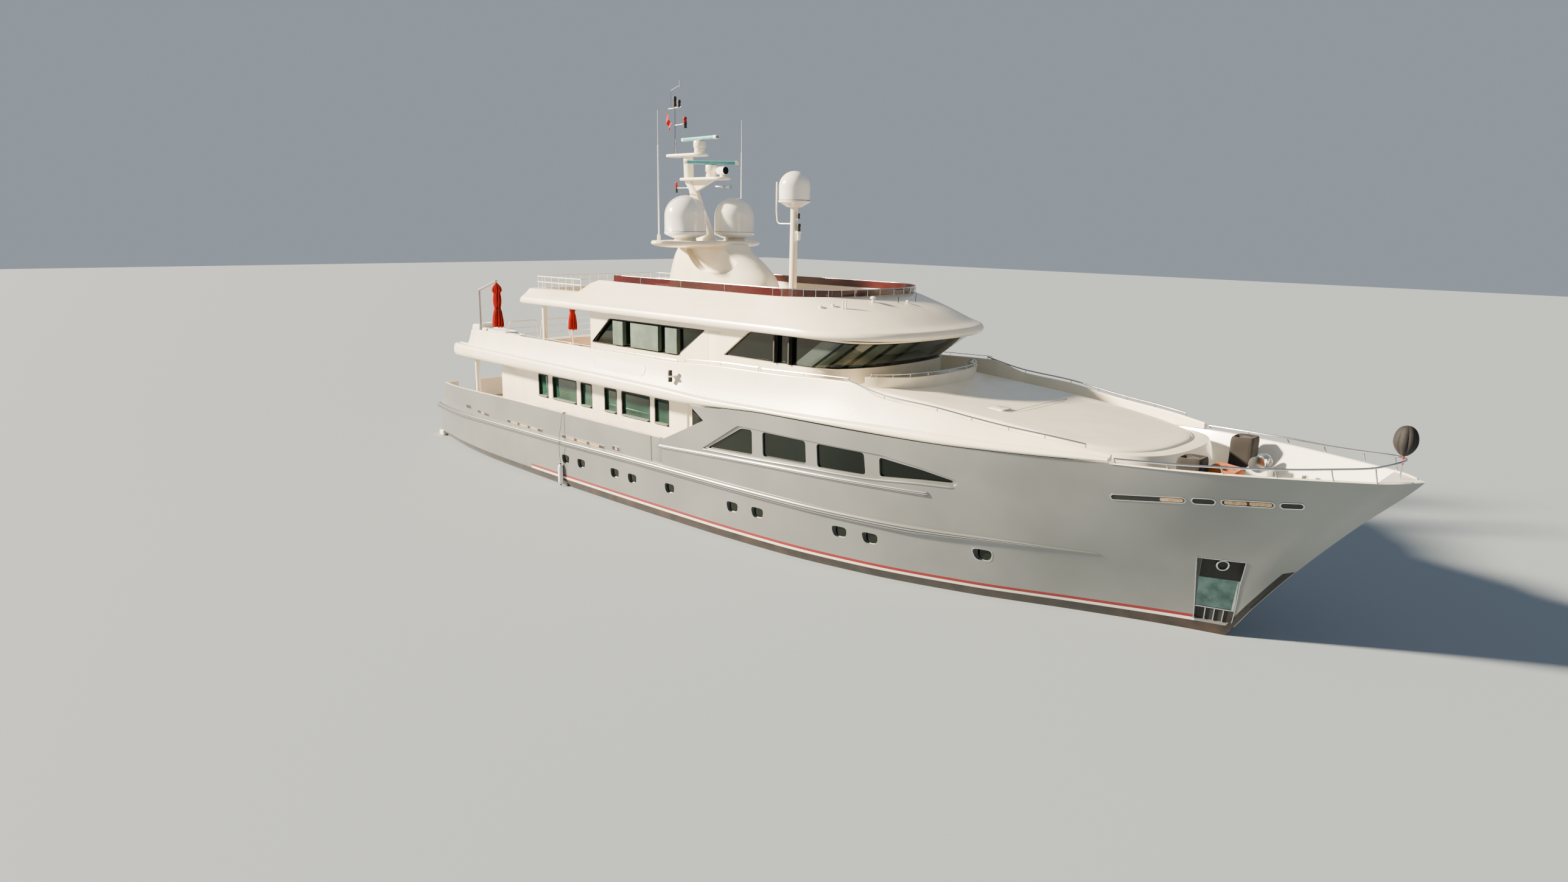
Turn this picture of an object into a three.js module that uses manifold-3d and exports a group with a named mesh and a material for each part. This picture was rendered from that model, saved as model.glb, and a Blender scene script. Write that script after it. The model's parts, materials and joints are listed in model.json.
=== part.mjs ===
// A raked-bow motor yacht of 39 m, afloat, as separate closed pieces in millimetres.
// X points forward, Y to port and Z up. The origin is on the waterline and the centreline,
// 16 m aft of the point where the stem meets the water.
import * as THREE from 'three';
import { mergeVertices } from 'three/addons/utils/BufferGeometryUtils.js';
import Module from 'manifold-3d';

const wasm = await Module();
wasm.setup();

// Driving dimensions
const GAP = 0.3;
const RUN = 6;
const BOW_TIP = 19760;
const TRANSOM = -19200;
const PLATFORM_AFT = -19800;
const BOOT_TOP = 350;
const KEEL_DEPTH = 2300;
const MAIN_DECK = 1900;
const BULWARK_TOP = 2900;
const PLATING = 120;
const WALL = 90;
const PANE = 14;
const BELT_LOW = 4300;
const UPPER_DECK = 4660;
const SUN_UNDERSIDE = 6820;
const SUN_DECK = 7120;
const WELL_DECK = 3850;
const HOUSE_HALF = 3200;
const SIDES = [['starboard', -1], ['port', 1]];

// Finishes
const finish = (color, roughness, metalness = 0) => new THREE.MeshStandardMaterial({ color, roughness, metalness });
const FINISH = {
  silver: finish('#a9aeb0', 0.35, 0.3),
  white: finish('#f1eee2', 0.3),
  glass: finish('#12201e', 0.08),
  steel: finish('#c9ccce', 0.2, 1),
  bronze: finish('#a87f45', 0.35, 1),
  antifoul: finish('#2a1f1b', 0.7),
  teal: finish('#4fa0a3', 0.4),
  claret: finish('#4a1f1c', 0.15),
  red: finish('#c5160f', 0.8),
  black: finish('#17171a', 0.7),
};

// Numbers between rows of a table, whose first column is the place
const between = (table, x, column = 1) => {
  const last = table.length - 1;
  if (x <= table[0][0]) return table[0][column];
  if (x >= table[last][0]) return table[last][column];
  const row = table.findIndex((entry) => entry[0] > x) - 1;
  const [from, to] = [table[row], table[row + 1]];
  const share = (x - from[0]) / (to[0] - from[0]);
  return from[column] + share * (to[column] - from[column]);
};
const mix = (a, b, share) => a + (b - a) * share;

// Closed meshes become solids, and solids become meshes again
const solid = (geometry) => {
  geometry.deleteAttribute('normal');
  geometry.deleteAttribute('uv');
  const merged = mergeVertices(geometry, 0.01);
  const place = merged.attributes.position.array;
  const corner = (k) => new THREE.Vector3(place[3 * k], place[3 * k + 1], place[3 * k + 2]);
  const index = Uint32Array.from(merged.index.array);
  let volume = 0;
  for (let t = 0; t < index.length; t += 3) {
    const [a, b, c] = [corner(index[t]), corner(index[t + 1]), corner(index[t + 2])];
    volume += a.dot(b.cross(c));
  }
  if (volume < 0) {
    for (let t = 0; t < index.length; t += 3) [index[t], index[t + 1]] = [index[t + 1], index[t]];
  }
  return new wasm.Manifold(new wasm.Mesh({ numProp: 3, vertProperties: place, triVerts: index }));
};
const join = (pieces) => pieces.reduce((whole, piece) => whole.add(piece));
// A body cut back from its neighbour, with the gap between them on every side
const SHIFTS = [[0, 0, 0], [0, 0, GAP], [0, 0, -GAP], [GAP, 0, 0], [-GAP, 0, 0], [0, GAP, 0], [0, -GAP, 0]];
const clear = (body, neighbour) => SHIFTS.reduce((rest, shift) => rest.subtract(neighbour.translate(shift)), body);
const largest = (body) => body.decompose().sort((a, b) => b.volume() - a.volume())[0];

const part = new THREE.Group();
const add = (name, body, material) => {
  const { numProp, vertProperties, triVerts } = largest(body).getMesh();
  const geometry = new THREE.BufferGeometry();
  const place = new Float32Array((vertProperties.length / numProp) * 3);
  for (let k = 0; k < place.length / 3; k += 1) {
    place.set(vertProperties.subarray(k * numProp, k * numProp + 3), 3 * k);
  }
  geometry.setAttribute('position', new THREE.BufferAttribute(place, 3));
  geometry.setIndex(new THREE.BufferAttribute(Uint32Array.from(triVerts), 1));
  geometry.computeVertexNormals();
  const mesh = new THREE.Mesh(geometry, material);
  mesh.name = name;
  part.add(mesh);
  return body;
};

// A body through rings of equally many points; its two end rings are closed by flat fans in the plane
// of the axes named
const loft = (rings, axes) => {
  const count = rings[0].length;
  const place = rings.flat(2);
  const index = [];
  for (let r = 0; r < rings.length - 1; r += 1) {
    for (let k = 0; k < count; k += 1) {
      const [a, b] = [r * count + k, r * count + ((k + 1) % count)];
      index.push(a, b, b + count, a, b + count, a + count);
    }
  }
  const cap = (ring, first, flip) => {
    const flat = ring.map((point) => new THREE.Vector2(point[axes[0]], point[axes[1]]));
    for (const [a, b, c] of THREE.ShapeUtils.triangulateShape(flat, [])) {
      index.push(first + a, first + (flip ? b : c), first + (flip ? c : b));
    }
  };
  const clockwise = THREE.ShapeUtils.area(rings[0].map((p) => new THREE.Vector2(p[axes[0]], p[axes[1]]))) < 0;
  cap(rings[0], 0, clockwise);
  cap(rings[rings.length - 1], (rings.length - 1) * count, !clockwise);
  const geometry = new THREE.BufferGeometry();
  geometry.setAttribute('position', new THREE.Float32BufferAttribute(place, 3));
  geometry.setIndex(index);
  return solid(geometry);
};

// Prisms: an outline seen from above, from the side (X, Z) or from ahead (Y, Z)
const outlineOf = (points) => new THREE.Shape(points.map(([x, y]) => new THREE.Vector2(x, y)));
const extruded = (points, depth) => new THREE.ExtrudeGeometry(outlineOf(points), { depth, bevelEnabled: false });
const fromAbove = (points, low, high) => solid(extruded(points, high - low).translate(0, 0, low));
const fromSide = (points, yLow, yHigh) => (
  solid(extruded(points, yHigh - yLow).rotateX(Math.PI / 2).translate(0, yHigh, 0)));
const block = (low, high) => {
  const size = high.map((value, k) => value - low[k]);
  const middle = high.map((value, k) => (value + low[k]) / 2);
  return solid(new THREE.BoxGeometry(...size).translate(...middle));
};
const turned = (profile, sides = 24) => (
  solid(new THREE.LatheGeometry(profile.map(([r, z]) => new THREE.Vector2(r, z)), sides).rotateX(Math.PI / 2)));

// A round bar between two points, and a round rail bent through several
const bar = (from, to, radius, sides = 8, endRadius = radius) => {
  const [a, b] = [new THREE.Vector3(...from), new THREE.Vector3(...to)];
  const way = b.clone().sub(a);
  const geometry = new THREE.CylinderGeometry(endRadius, radius, way.length(), sides);
  geometry.applyQuaternion(new THREE.Quaternion().setFromUnitVectors(new THREE.Vector3(0, 1, 0), way.normalize()));
  return solid(geometry.translate(...a.add(b).multiplyScalar(0.5).toArray()));
};
const rail = (points, radius, sides = 6, steps = 2) => {
  const path = new THREE.CatmullRomCurve3(points.map((p) => new THREE.Vector3(...p)), false, 'centripetal');
  // Steps of the bend fall on the points themselves
  path.getPointAt = (share, target) => path.getPoint(share, target);
  path.getTangentAt = (share, target) => path.getTangent(share, target);
  const ring = new THREE.Shape(Array.from({ length: sides }, (_, k) => {
    const angle = (2 * Math.PI * k) / sides;
    return new THREE.Vector2(radius * Math.cos(angle), radius * Math.sin(angle));
  }));
  const many = steps * (points.length - 1);
  return solid(new THREE.ExtrudeGeometry(ring, { steps: many, extrudePath: path, bevelEnabled: false }));
};

// A plan outline with a round nose and round tail corners, the same on both sides: nose is the length of the
// rounded bow end, and full is its fullness
const plan = (aft, fore, half, nose, tail = 0, full = 2.2) => {
  const side = [];
  if (tail > 0) {
    for (let k = 0; k <= 3; k += 1) {
      const angle = (Math.PI / 2) * (k / 3);
      side.push([aft + tail * (1 - Math.sin(angle)), half - tail * (1 - Math.cos(angle))]);
    }
    side.reverse();
  } else side.push([aft, half]);
  for (let k = 0; k <= 9; k += 1) {
    const share = Math.sin((Math.PI / 2) * (k / 9));
    const breadth = half * (1 - share ** full) ** (1 / full);
    if (k < 9) side.push([fore - nose + nose * share, breadth]);
  }
  side.push([fore, 0]);
  const other = side.slice(0, -1).reverse().map(([x, y]) => [x, -y]);
  return [...side, ...other];
};
const raised = (outline, z) => outline.map(([x, y]) => [x, y, typeof z === 'function' ? z(x, y) : z]);
const stack = (loops) => loft(loops, [0, 1]);

// The lines of the hull. Half-breadths of the deck edge and of the boot top against X
const DECK_PLAN = [
  [-18650, 3480], [-17500, 3790], [-16500, 3970], [-15000, 4100], [-10000, 4220], [0, 4250], [6000, 4200],
  [9000, 4000], [11000, 3700], [13460, 3160], [14980, 2790], [16150, 2400], [17340, 1830], [18580, 1140],
  [19230, 720], [BOW_TIP, 40],
];
const WATER_PLAN = [
  [TRANSOM, 3300], [-16000, 3850], [-13000, 4100], [-8000, 4200], [0, 4120], [3700, 3930], [6800, 3450],
  [9900, 2550], [12700, 1380], [15150, 400], [16240, 40],
];
// X of the stem, and of the transom, against height
const STEM = [
  [-2000, 12600], [-1500, 14000], [-800, 15250], [0, 16000], [970, 16640], [2110, 17460], [3460, 18560],
  [4680, 19670], [4800, BOW_TIP],
];
const STERN = [[-900, -18300], [0, TRANSOM], [1550, TRANSOM], [1900, -18720], [2650, -18500], [BELT_LOW, -18350]];
// Height of the hull's top edge and depth of its bottom against X
const SHEER = [
  [-18650, 4280], [600, 4280], [2000, 4400], [3500, 4470], [9000, 4500], [11000, 4550], [13460, 4640],
  [17500, 4740], [BOW_TIP, 4800],
];
const BOTTOM = [[-18650, -700], [-12000, -1350], [-5000, -1850], [2000, -2000], [12600, -2000]];
const ALONG = [
  0, 0.03, 0.06, 0.1, 0.16, 0.24, 0.34, 0.42, 0.494, 0.531, 0.5705, 0.62, 0.68, 0.716, 0.7686, 0.8, 0.8336,
  0.87, 0.9, 0.93, 0.955, 0.975, 0.99, 1,
];
const BELOW = [0, 0.2, 0.4, 0.6, 0.8];
const ABOVE = [0, 0.2, 0.4, 0.6, 0.8, 1];
const FLARE = 1.2;

// One point of the hull's side: u runs from transom to stem, and v from boot top to deck edge
const topside = (u, v, inset = 0) => {
  const edgeX = mix(between(STERN, BELT_LOW), BOW_TIP, u);
  const waterX = mix(between(STERN, BOOT_TOP), between(STEM, BOOT_TOP), u);
  const z = mix(BOOT_TOP, between(SHEER, edgeX), v);
  const x = mix(between(STERN, z), between(STEM, z), u);
  const y = mix(between(WATER_PLAN, waterX), between(DECK_PLAN, edgeX), v ** FLARE);
  return [x, Math.max(y - inset, 20), z];
};
const underwater = (u, s) => {
  const waterX = mix(between(STERN, BOOT_TOP), between(STEM, BOOT_TOP), u);
  const stemZ = mix(between(BOTTOM, 12600), BOOT_TOP, s);
  const keelX = mix(between(STERN, -900), 12600, u);
  const depth = between(BOTTOM, keelX);
  const round = (1 - Math.cos((s * Math.PI) / 2)) ** 0.8;
  const rise = mix(round, s, u ** 4);
  const breadth = mix(Math.sin((s * Math.PI) / 2) ** 0.9, s, u ** 4);
  const x = mix(between(STERN, mix(-900, BOOT_TOP, s)), between(STEM, stemZ), u);
  return [x, between(WATER_PLAN, waterX) * breadth, mix(depth, BOOT_TOP, rise)];
};
// The hull's skin as rings with port and starboard alike, closed at both ends by strips
const hullForm = () => {
  const half = ALONG.map((u) => [
    ...BELOW.map((s) => underwater(u, s)), ...ABOVE.map((v) => topside(u, v))]);
  return stripped(half);
};
const stripped = (half) => {
  const many = half[0].length;
  const place = [];
  half.forEach((line) => {
    line.forEach(([x, y, z]) => place.push(x, y, z));
    line.forEach(([x, y, z]) => place.push(x, -y, z));
  });
  const at = (r, k, side) => r * 2 * many + side * many + k;
  const index = [];
  const quad = (a, b, c, d) => index.push(a, b, c, a, c, d);
  for (let r = 0; r < half.length - 1; r += 1) {
    for (let k = 0; k < many - 1; k += 1) {
      quad(at(r, k, 0), at(r, k + 1, 0), at(r + 1, k + 1, 0), at(r + 1, k, 0));
      quad(at(r, k, 1), at(r + 1, k, 1), at(r + 1, k + 1, 1), at(r, k + 1, 1));
    }
    quad(at(r, 0, 0), at(r + 1, 0, 0), at(r + 1, 0, 1), at(r, 0, 1));
    quad(at(r, many - 1, 0), at(r, many - 1, 1), at(r + 1, many - 1, 1), at(r + 1, many - 1, 0));
  }
  const last = half.length - 1;
  for (let k = 0; k < many - 1; k += 1) {
    quad(at(0, k, 0), at(0, k, 1), at(0, k + 1, 1), at(0, k + 1, 0));
    quad(at(last, k, 0), at(last, k + 1, 0), at(last, k + 1, 1), at(last, k, 1));
  }
  const geometry = new THREE.BufferGeometry();
  geometry.setAttribute('position', new THREE.Float32BufferAttribute(place, 3));
  geometry.setIndex(index);
  return solid(geometry);
};
// What lies inside the plating, between two heights and two places along the hull
const LEVELS = [1850, 2600, 3300, 4000, 5300];
const insideHull = (inset, low, high, aft, fore) => {
  const reach = ALONG.map((u) => LEVELS.map((z) => {
    const edgeX = mix(between(STERN, BELT_LOW), BOW_TIP, u);
    const v = (z - BOOT_TOP) / (between(SHEER, edgeX) - BOOT_TOP);
    const [x, y] = topside(u, v, inset);
    return [x, y, z];
  }));
  return stripped(reach).intersect(block([aft, -5000, low], [fore, 5000, high]));
};

// Window openings in the hull's side, in X and Z
const HULL_WINDOWS = [
  [[690, 2950], [2750, 3050], [2760, 3870], [2280, 3850]],
  [[3210, 3100], [4980, 3170], [4980, 3880], [3210, 3880]],
  [[5410, 3160], [7120, 3220], [7120, 3880], [5410, 3880]],
  [[7590, 3260], [8950, 3390], [9780, 3440], [9870, 3510], [8950, 3690], [7620, 3840]],
];
const NOTCH = [
  [-19500, 2650], [-18500, 2680], [-15500, 2790], [-12500, 2880], [-11000, BULWARK_TOP], [-1500, BULWARK_TOP],
  [590, 3850], [-50, 4250], [-50, 4500], [-19500, 4500],
];
// The recess for an anchor: its aft and fore edges, height and depth
const ANCHOR_POCKET = [[15280, 16150, 360, 70], [15380, 16330, 1550, 200], [15470, 16500, 2250, 380]];
const CABIN = { aft: 700, fore: 11000, low: 2000, high: 4120 };
const BLOCK_AFT = 300;
const WELL = { aft: 12900, fore: 19000 };
const RUB_RAIL = [
  [-19450, 1500], [-16500, 1560], [-13200, 1670], [-7500, 1750], [-1600, 1820], [8000, 1830], [11400, 1930], [13300, 1960],
];
const HIGH_RAIL = [[-1700, 2600], [3200, 2830], [5300, 2900], [9150, 3010]];

// A fender rail that follows the side of the hull at a changing height
const sideRail = (line, sign, height, proud) => {
  const rings = Array.from({ length: 15 }, (_, k) => {
    const share = k / 14;
    const x = mix(line[0][0], line[line.length - 1][0], share);
    const z = between(line, x);
    const y = hullHalf(x, z);
    const taper = Math.min(1, (1 - share) * 6 + 0.15);
    return [
      [x, y - 60, z - height / 2], [x, y + proud * taper, z - (height / 3) * taper],
      [x, y + proud * taper, z + (height / 3) * taper], [x, y - 60, z + height / 2],
    ].map(([a, b, c]) => [a, sign * b, c]);
  });
  return loft(rings, [1, 2]);
};
// Half-breadth of the hull at a place on its side
const hullHalf = (x, z) => {
  const u = (x - between(STERN, z)) / (between(STEM, z) - between(STERN, z));
  const edgeX = mix(between(STERN, BELT_LOW), BOW_TIP, u);
  const v = (z - BOOT_TOP) / (between(SHEER, edgeX) - BOOT_TOP);
  return topside(Math.min(Math.max(u, 0), 1), v)[1];
};

const PROPELLER = { x: -15300, y: 2000, z: -1560, radius: 560, shaft: 60, boss: 110 };
const RUDDER = { x: -17000, y: 2000, low: -2150, high: -930, fore: 320, aft: 780, stock: 70, trunk: 300 };

// Steps cut into the stern on both sides, from the swim platform up to the main deck
const STEPS = { fore: -18000, tread: 300, rise: 335, many: 4, inner: 1900, outer: 2800 };
const sternSteps = (sign) => {
  const { fore, tread, rise, many, inner, outer } = STEPS;
  const profile = [[fore, 3500], [fore, MAIN_DECK]];
  for (let k = 1; k <= many; k += 1) {
    profile.push([fore - tread * (k - 1), MAIN_DECK - rise * k], [fore - tread * k, MAIN_DECK - rise * k]);
  }
  profile.push([TRANSOM - 400, MAIN_DECK - rise * many], [TRANSOM - 400, 3500]);
  const [yLow, yHigh] = [sign * inner, sign * outer].sort((a, b) => a - b);
  return fromSide(profile, yLow, yHigh);
};
// What stands in the foredeck's well: two windlasses, two covered capstans and two pairs of bitts
const WINDLASS = { aft: 15650, fore: 16200, y: 1310, half: 250, top: 4330, drum: 210, overhang: 40 };
const CAPSTAN = { x: 15350, y: 1750, low: 290, high: 200, top: 4850 };
const BITTS = { x: [17160, 17460], y: 760, radius: 80, top: 4330, bar: 4180, overhang: 130 };
const wellGear = (sign) => {
  const { aft, fore, y, half, top, drum, overhang } = WINDLASS;
  const [yLow, yHigh] = [sign * (y - half), sign * (y + half)].sort((a, b) => a - b);
  const middle = (aft + fore) / 2;
  const floor = WELL_DECK - 20;
  const mounts = BITTS.x.map((x) => bar([x, sign * BITTS.y, floor], [x, sign * BITTS.y, BITTS.top], BITTS.radius, 12));
  return join([
    block([aft, yLow, floor], [fore, yHigh, top]), bar([middle, yLow - overhang, top], [middle, yHigh + overhang, top], drum, 16),
    bar([CAPSTAN.x, sign * CAPSTAN.y, floor], [CAPSTAN.x, sign * CAPSTAN.y, CAPSTAN.top], CAPSTAN.low, 16, CAPSTAN.high),
    ...mounts, bar([BITTS.x[0] - BITTS.overhang, sign * BITTS.y, BITTS.bar],
      [BITTS.x[1] + BITTS.overhang, sign * BITTS.y, BITTS.bar], 45, 8),
  ]);
};

// The way from the saloon into the fore cabins, without a door
const passage = (low, aft, fore) => block([aft, -450, low + 150], [fore, 450, low + 2150]);
const makeHull = () => {
  let hull = hullForm();
  const skeg = [[-13500, -1100], [-13000, -KEEL_DEPTH], [8500, -KEEL_DEPTH], [10500, -1800]];
  hull = hull.add(fromSide(skeg, -140, 140));
  SIDES.forEach(([, sign]) => {
    hull = hull.add(sideRail(RUB_RAIL, sign, 260, 130)).add(sideRail(HIGH_RAIL, sign, 140, 60));
  });
  hull = hull.subtract(insideHull(PLATING, MAIN_DECK, 4900, -18380, BLOCK_AFT));
  hull = hull.subtract(fromSide(NOTCH, -5000, 5000));
  hull = hull.subtract(insideHull(PLATING, WELL_DECK, 5200, WELL.aft, WELL.fore));
  hull = hull.subtract(insideHull(PLATING, CABIN.low, CABIN.high, CABIN.aft, CABIN.fore));
  hull = hull.subtract(passage(MAIN_DECK, BLOCK_AFT - 100, CABIN.aft + 100));
  SIDES.forEach(([, sign]) => {
    HULL_WINDOWS.forEach((window) => {
      hull = hull.subtract(fromSide(window, sign > 0 ? 2500 : -5000, sign > 0 ? 5000 : -2500));
    });
    const pocket = ANCHOR_POCKET.map(([aft, fore, z, depth]) => [
      [aft, hullHalf(aft, z) - depth], [fore, Math.max(hullHalf(fore, z) - depth, 30)], [fore, 3000], [aft, 3000],
    ].map(([x, y]) => [x, sign * y, z]));
    hull = hull.subtract(loft(pocket, [0, 1]));
    const { x, y, z, shaft } = PROPELLER;
    hull = hull.add(bar([x + 260, sign * y, z], [x + 5200, sign * y, z + 420], 110, 16));
    hull = hull.add(fromSide([[x + 900, -400], [x + 500, z], [x + 800, z], [x + 1300, -400]],
      sign * y - 35, sign * y + 35));
    hull = hull.subtract(bar([x - 50, sign * y, z], [x + 700, sign * y, z], shaft + 1, 24));
    const trunk = bar([RUDDER.x, sign * RUDDER.y, RUDDER.high + 10], [RUDDER.x, sign * RUDDER.y, 0], 130, 16);
    const bore = bar([RUDDER.x, sign * RUDDER.y, -1200], [RUDDER.x, sign * RUDDER.y, -400], RUDDER.stock + 1, 24);
    hull = hull.add(trunk).subtract(bore).subtract(sternSteps(sign)).add(wellGear(sign));
  });
  return hull;
};

// The boarding gates in the bulwark, which stand 10 and 15 mm clear of the ends of their openings
const GATE = { aft: -2190, fore: -1615, low: MAIN_DECK + 90, pinY: 4110, pin: 10 };
const gateCut = (sign) => {
  const [yLow, yHigh] = [sign * 3900, sign * 4700].sort((a, b) => a - b);
  return block([GATE.aft - 10, yLow, GATE.low], [GATE.fore + 15, yHigh, BULWARK_TOP + 400]);
};
const boardingGate = (sign) => {
  const panel = insideHull(10, GATE.low + 10, BULWARK_TOP, GATE.aft, GATE.fore)
    .subtract(insideHull(70, MAIN_DECK, BULWARK_TOP + 50, -4000, 500)).intersect(gateCut(sign));
  const [x, y] = [GATE.aft + GATE.pin, sign * GATE.pinY];
  return panel.add(bar([x, y, GATE.low + 0.5], [x, y, GATE.low + 310], GATE.pin, 8));
};

const propeller = (sign) => {
  const { x, y, z, radius, shaft, boss } = PROPELLER;
  let body = turned([[0, -160], [70, -120], [boss, 0], [boss, 200], [0, 200]], 16);
  for (let k = 0; k < 4; k += 1) {
    const blade = [[boss - 60, -90], [300, -190], [480, -150], [radius, 0], [480, 150], [300, 190], [boss - 60, 90]];
    const flat = fromAbove(blade, -14, 14).rotate([sign * 38, 0, 0]).translate([0, 0, 100]);
    body = body.add(flat.rotate([0, 0, 90 * k]));
  }
  const hub = body.rotate([0, 90, 0]).translate([x, sign * y, z]);
  return hub.add(bar([x + 100, sign * y, z], [x + 650, sign * y, z], shaft, 24));
};
const rudder = (sign) => {
  const { x, y, low, high, fore, aft, stock } = RUDDER;
  const foil = [[fore, 0], [fore - 90, 55], [0, 85], [-aft * 0.6, 45], [-aft, 8], [-aft, -8],
    [-aft * 0.6, -45], [0, -85], [fore - 90, -55]].map(([a, b]) => [a + x, b + sign * y]);
  const blade = fromAbove(foil, low, high);
  return blade.add(bar([x, sign * y, high - 50], [x, sign * y, -500], stock, 24));
};

// The upper deck's edge: a big round moulding with a bulwark that leans in above it.
// X, half-breadth of the moulding, height of its lower edge, of its crease and of the bulwark's top,
// and half-breadth of that top
const BELT = [
  [-16350, 3720, 4300, 4780, 4800, 3540],
  [-16200, 4010, 4290, 4810, 4830, 3760],
  [-15850, 4200, 4280, 4830, 4850, 3880],
  [-15000, 4260, 4280, 4830, 4870, 3930],
  [-14750, 4270, 4280, 4830, 5510, 3950],
  [-10000, 4330, 4280, 4780, 5550, 3960],
  [-1500, 4350, 4270, 4700, 5550, 3960],
  [600, 4350, 4340, 4640, 5660, 3950],
  [3500, 4320, 4490, 4670, 5700, 3900],
  [6300, 4260, 4510, 4740, 5780, 3800],
  [7600, 4190, 4510, 4780, 5470, 3820],
  [9200, 4060, 4520, 4810, 5360, 3730],
  [11000, 3790, 4570, 4810, 5140, 3480],
  [12900, 3370, 4640, 4820, 4980, 3170],
  [13850, 3110, 4690, 4800, 4860, 2960],
];
const BULWARK_THICK = 90;
const DECK_END = 12900;

const upperDeck = () => {
  const rows = BELT.filter(([x]) => x <= DECK_END);
  return stripped(rows.map(([x, , , , , topHalf]) => {
    const half = topHalf - BULWARK_THICK - GAP;
    const low = Math.max(BELT_LOW, between(SHEER, x) + 60);
    return [[x, half, Math.min(low, UPPER_DECK - 15)], [x, half, UPPER_DECK]];
  }));
};
// A covered row of seats along each side of the upper deck's aft end
const SEATS = [
  { aft: -15450, fore: -14700, inner: 2750, outer: 3620, top: 5680 },
  { aft: -14800, fore: -12520, inner: 2850, outer: 3600, top: 5540 },
  { aft: -12600, fore: -11450, inner: 3220, outer: 3600, top: 5540 },
];
const coveredSeats = (sign) => join(SEATS.map(({ aft, fore, inner, outer, top }) => {
  const level = (inset, z) => [[aft + inset, inner + inset], [fore - inset, inner + inset], [fore - inset, outer - inset],
    [aft + inset, outer - inset]].map(([x, y]) => [x, sign * y, z]);
  return loft([level(0, UPPER_DECK - 10), level(0, top - 100), level(90, top)], [0, 1]);
}));
const bulwark = (sign) => {
  const rings = BELT.map(([x, breadth, low, crease, top, topHalf]) => {
    const inner = topHalf - BULWARK_THICK;
    return [
      [inner, low], [breadth - 160, low], [breadth - 40, low + 50], [breadth + 12, (low + crease) / 2 - 20],
      [breadth - 30, crease - 40], [breadth - 125, crease],
      [mix(breadth - 125, topHalf, 0.45), mix(crease, top, 0.45)], [topHalf, top - 15], [topHalf - 25, top],
      [inner + 15, top], [inner, top - 15],
    ].map(([y, z]) => [x, sign * y, z]);
  });
  return loft(rings, [1, 2]);
};
// What stands proud of the bulwark: a bare rounded panel, and two lamps above and below a shelf
const NAME_PANEL = { aft: -5520, fore: -2630, low: 4910, high: 5270, proud: 18 };
const LAMP_SHELF = { x: -1030, half: 140, out: 4400, z: 5125, lampY: 4270, radius: 75, height: 200 };
const bulwarkHalf = (x, z) => {
  const crease = between(BELT, x, 3);
  return mix(between(BELT, x, 1) - 125, between(BELT, x, 5), (z - crease) / (between(BELT, x, 4) - crease));
};
const bulwarkFittings = (sign) => {
  const { aft, fore, low, high, proud } = NAME_PANEL;
  const rings = [aft, mix(aft, fore, 0.5), fore].map((x) => [
    [bulwarkHalf(x, low) + proud, low], [bulwarkHalf(x, high) + proud, high],
    [bulwarkHalf(x, high) - 40, high], [bulwarkHalf(x, low) - 40, low],
  ].map(([y, z]) => [x, sign * y, z]));
  const { x, half, out, z, lampY, radius, height } = LAMP_SHELF;
  const [yLow, yHigh] = [sign * (bulwarkHalf(x, z) - 40), sign * out].sort((a, b) => a - b);
  return join([loft(rings, [1, 2]), block([x - half, yLow, z - 20], [x + half, yHigh, z + 20]),
    bar([x, sign * lampY, z - height], [x, sign * lampY, z + height], radius, 10)]);
};

// Houses: walls between an outer and an inner stack of plans
const SALOON = { aft: -13720, fore: 280, low: MAIN_DECK + GAP, high: BELT_LOW - GAP };
const MAIN_WINDOWS = [
  [-10810, -10120], [-9780, -8110], [-7810, -7070], [-6250, -5490], [-5170, -3500], [-3210, -2420],
];
const WINDOW_LOW = 3040;
const WINDOW_HIGH = 3960;
const SIDE_DOOR = { aft: -1300, fore: -520, low: MAIN_DECK + 60, high: 3960 };
const AFT_DOOR = { half: 1150, low: 60, high: 2060, leaf: 45 };

const saloon = () => {
  const { aft, fore, low, high } = SALOON;
  let walls = block([aft, -HOUSE_HALF, low], [fore, HOUSE_HALF, high]);
  walls = walls.subtract(block([aft + WALL, WALL - HOUSE_HALF, low - 10], [fore - WALL, HOUSE_HALF - WALL, high + 10]));
  MAIN_WINDOWS.forEach(([from, to]) => {
    walls = walls.subtract(block([from, -4000, WINDOW_LOW], [to, 4000, WINDOW_HIGH]));
  });
  const { half } = AFT_DOOR;
  walls = walls.subtract(block([aft - 10, -half, low + AFT_DOOR.low], [aft + WALL + 10, half, low + AFT_DOOR.high]));
  walls = walls.subtract(passage(MAIN_DECK, fore - WALL - 10, fore + 10));
  return walls.subtract(block([SIDE_DOOR.aft, -4000, SIDE_DOOR.low], [SIDE_DOOR.fore, 4000, SIDE_DOOR.high]));
};
const saloonGlass = (sign) => {
  const face = HOUSE_HALF - WALL - GAP;
  const span = [face - PANE, face].map((y) => sign * y).sort((a, b) => a - b);
  return block([-11000, span[0], WINDOW_LOW - 80], [-2250, span[1], WINDOW_HIGH + 80]);
};
// A sliding leaf behind an aft wall, which runs on two shoes that stand on the deck
const aftDoor = (house, sign) => {
  const { half, low, high, leaf } = AFT_DOOR;
  const x = house.aft + WALL + RUN;
  const across = (from, to) => [sign * from, sign * to].sort((a, b) => a - b);
  const box = (from, to, bottom, top) => {
    const [yLow, yHigh] = across(from, to);
    return block([x, yLow, bottom], [x + leaf, yHigh, top]);
  };
  const bottom = house.low + low + 5;
  return join([box(3, half + 60, bottom, house.low + high + 60),
    box(100, 220, house.low + GAP, bottom), box(half - 160, half - 40, house.low + GAP, bottom)]);
};
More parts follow.
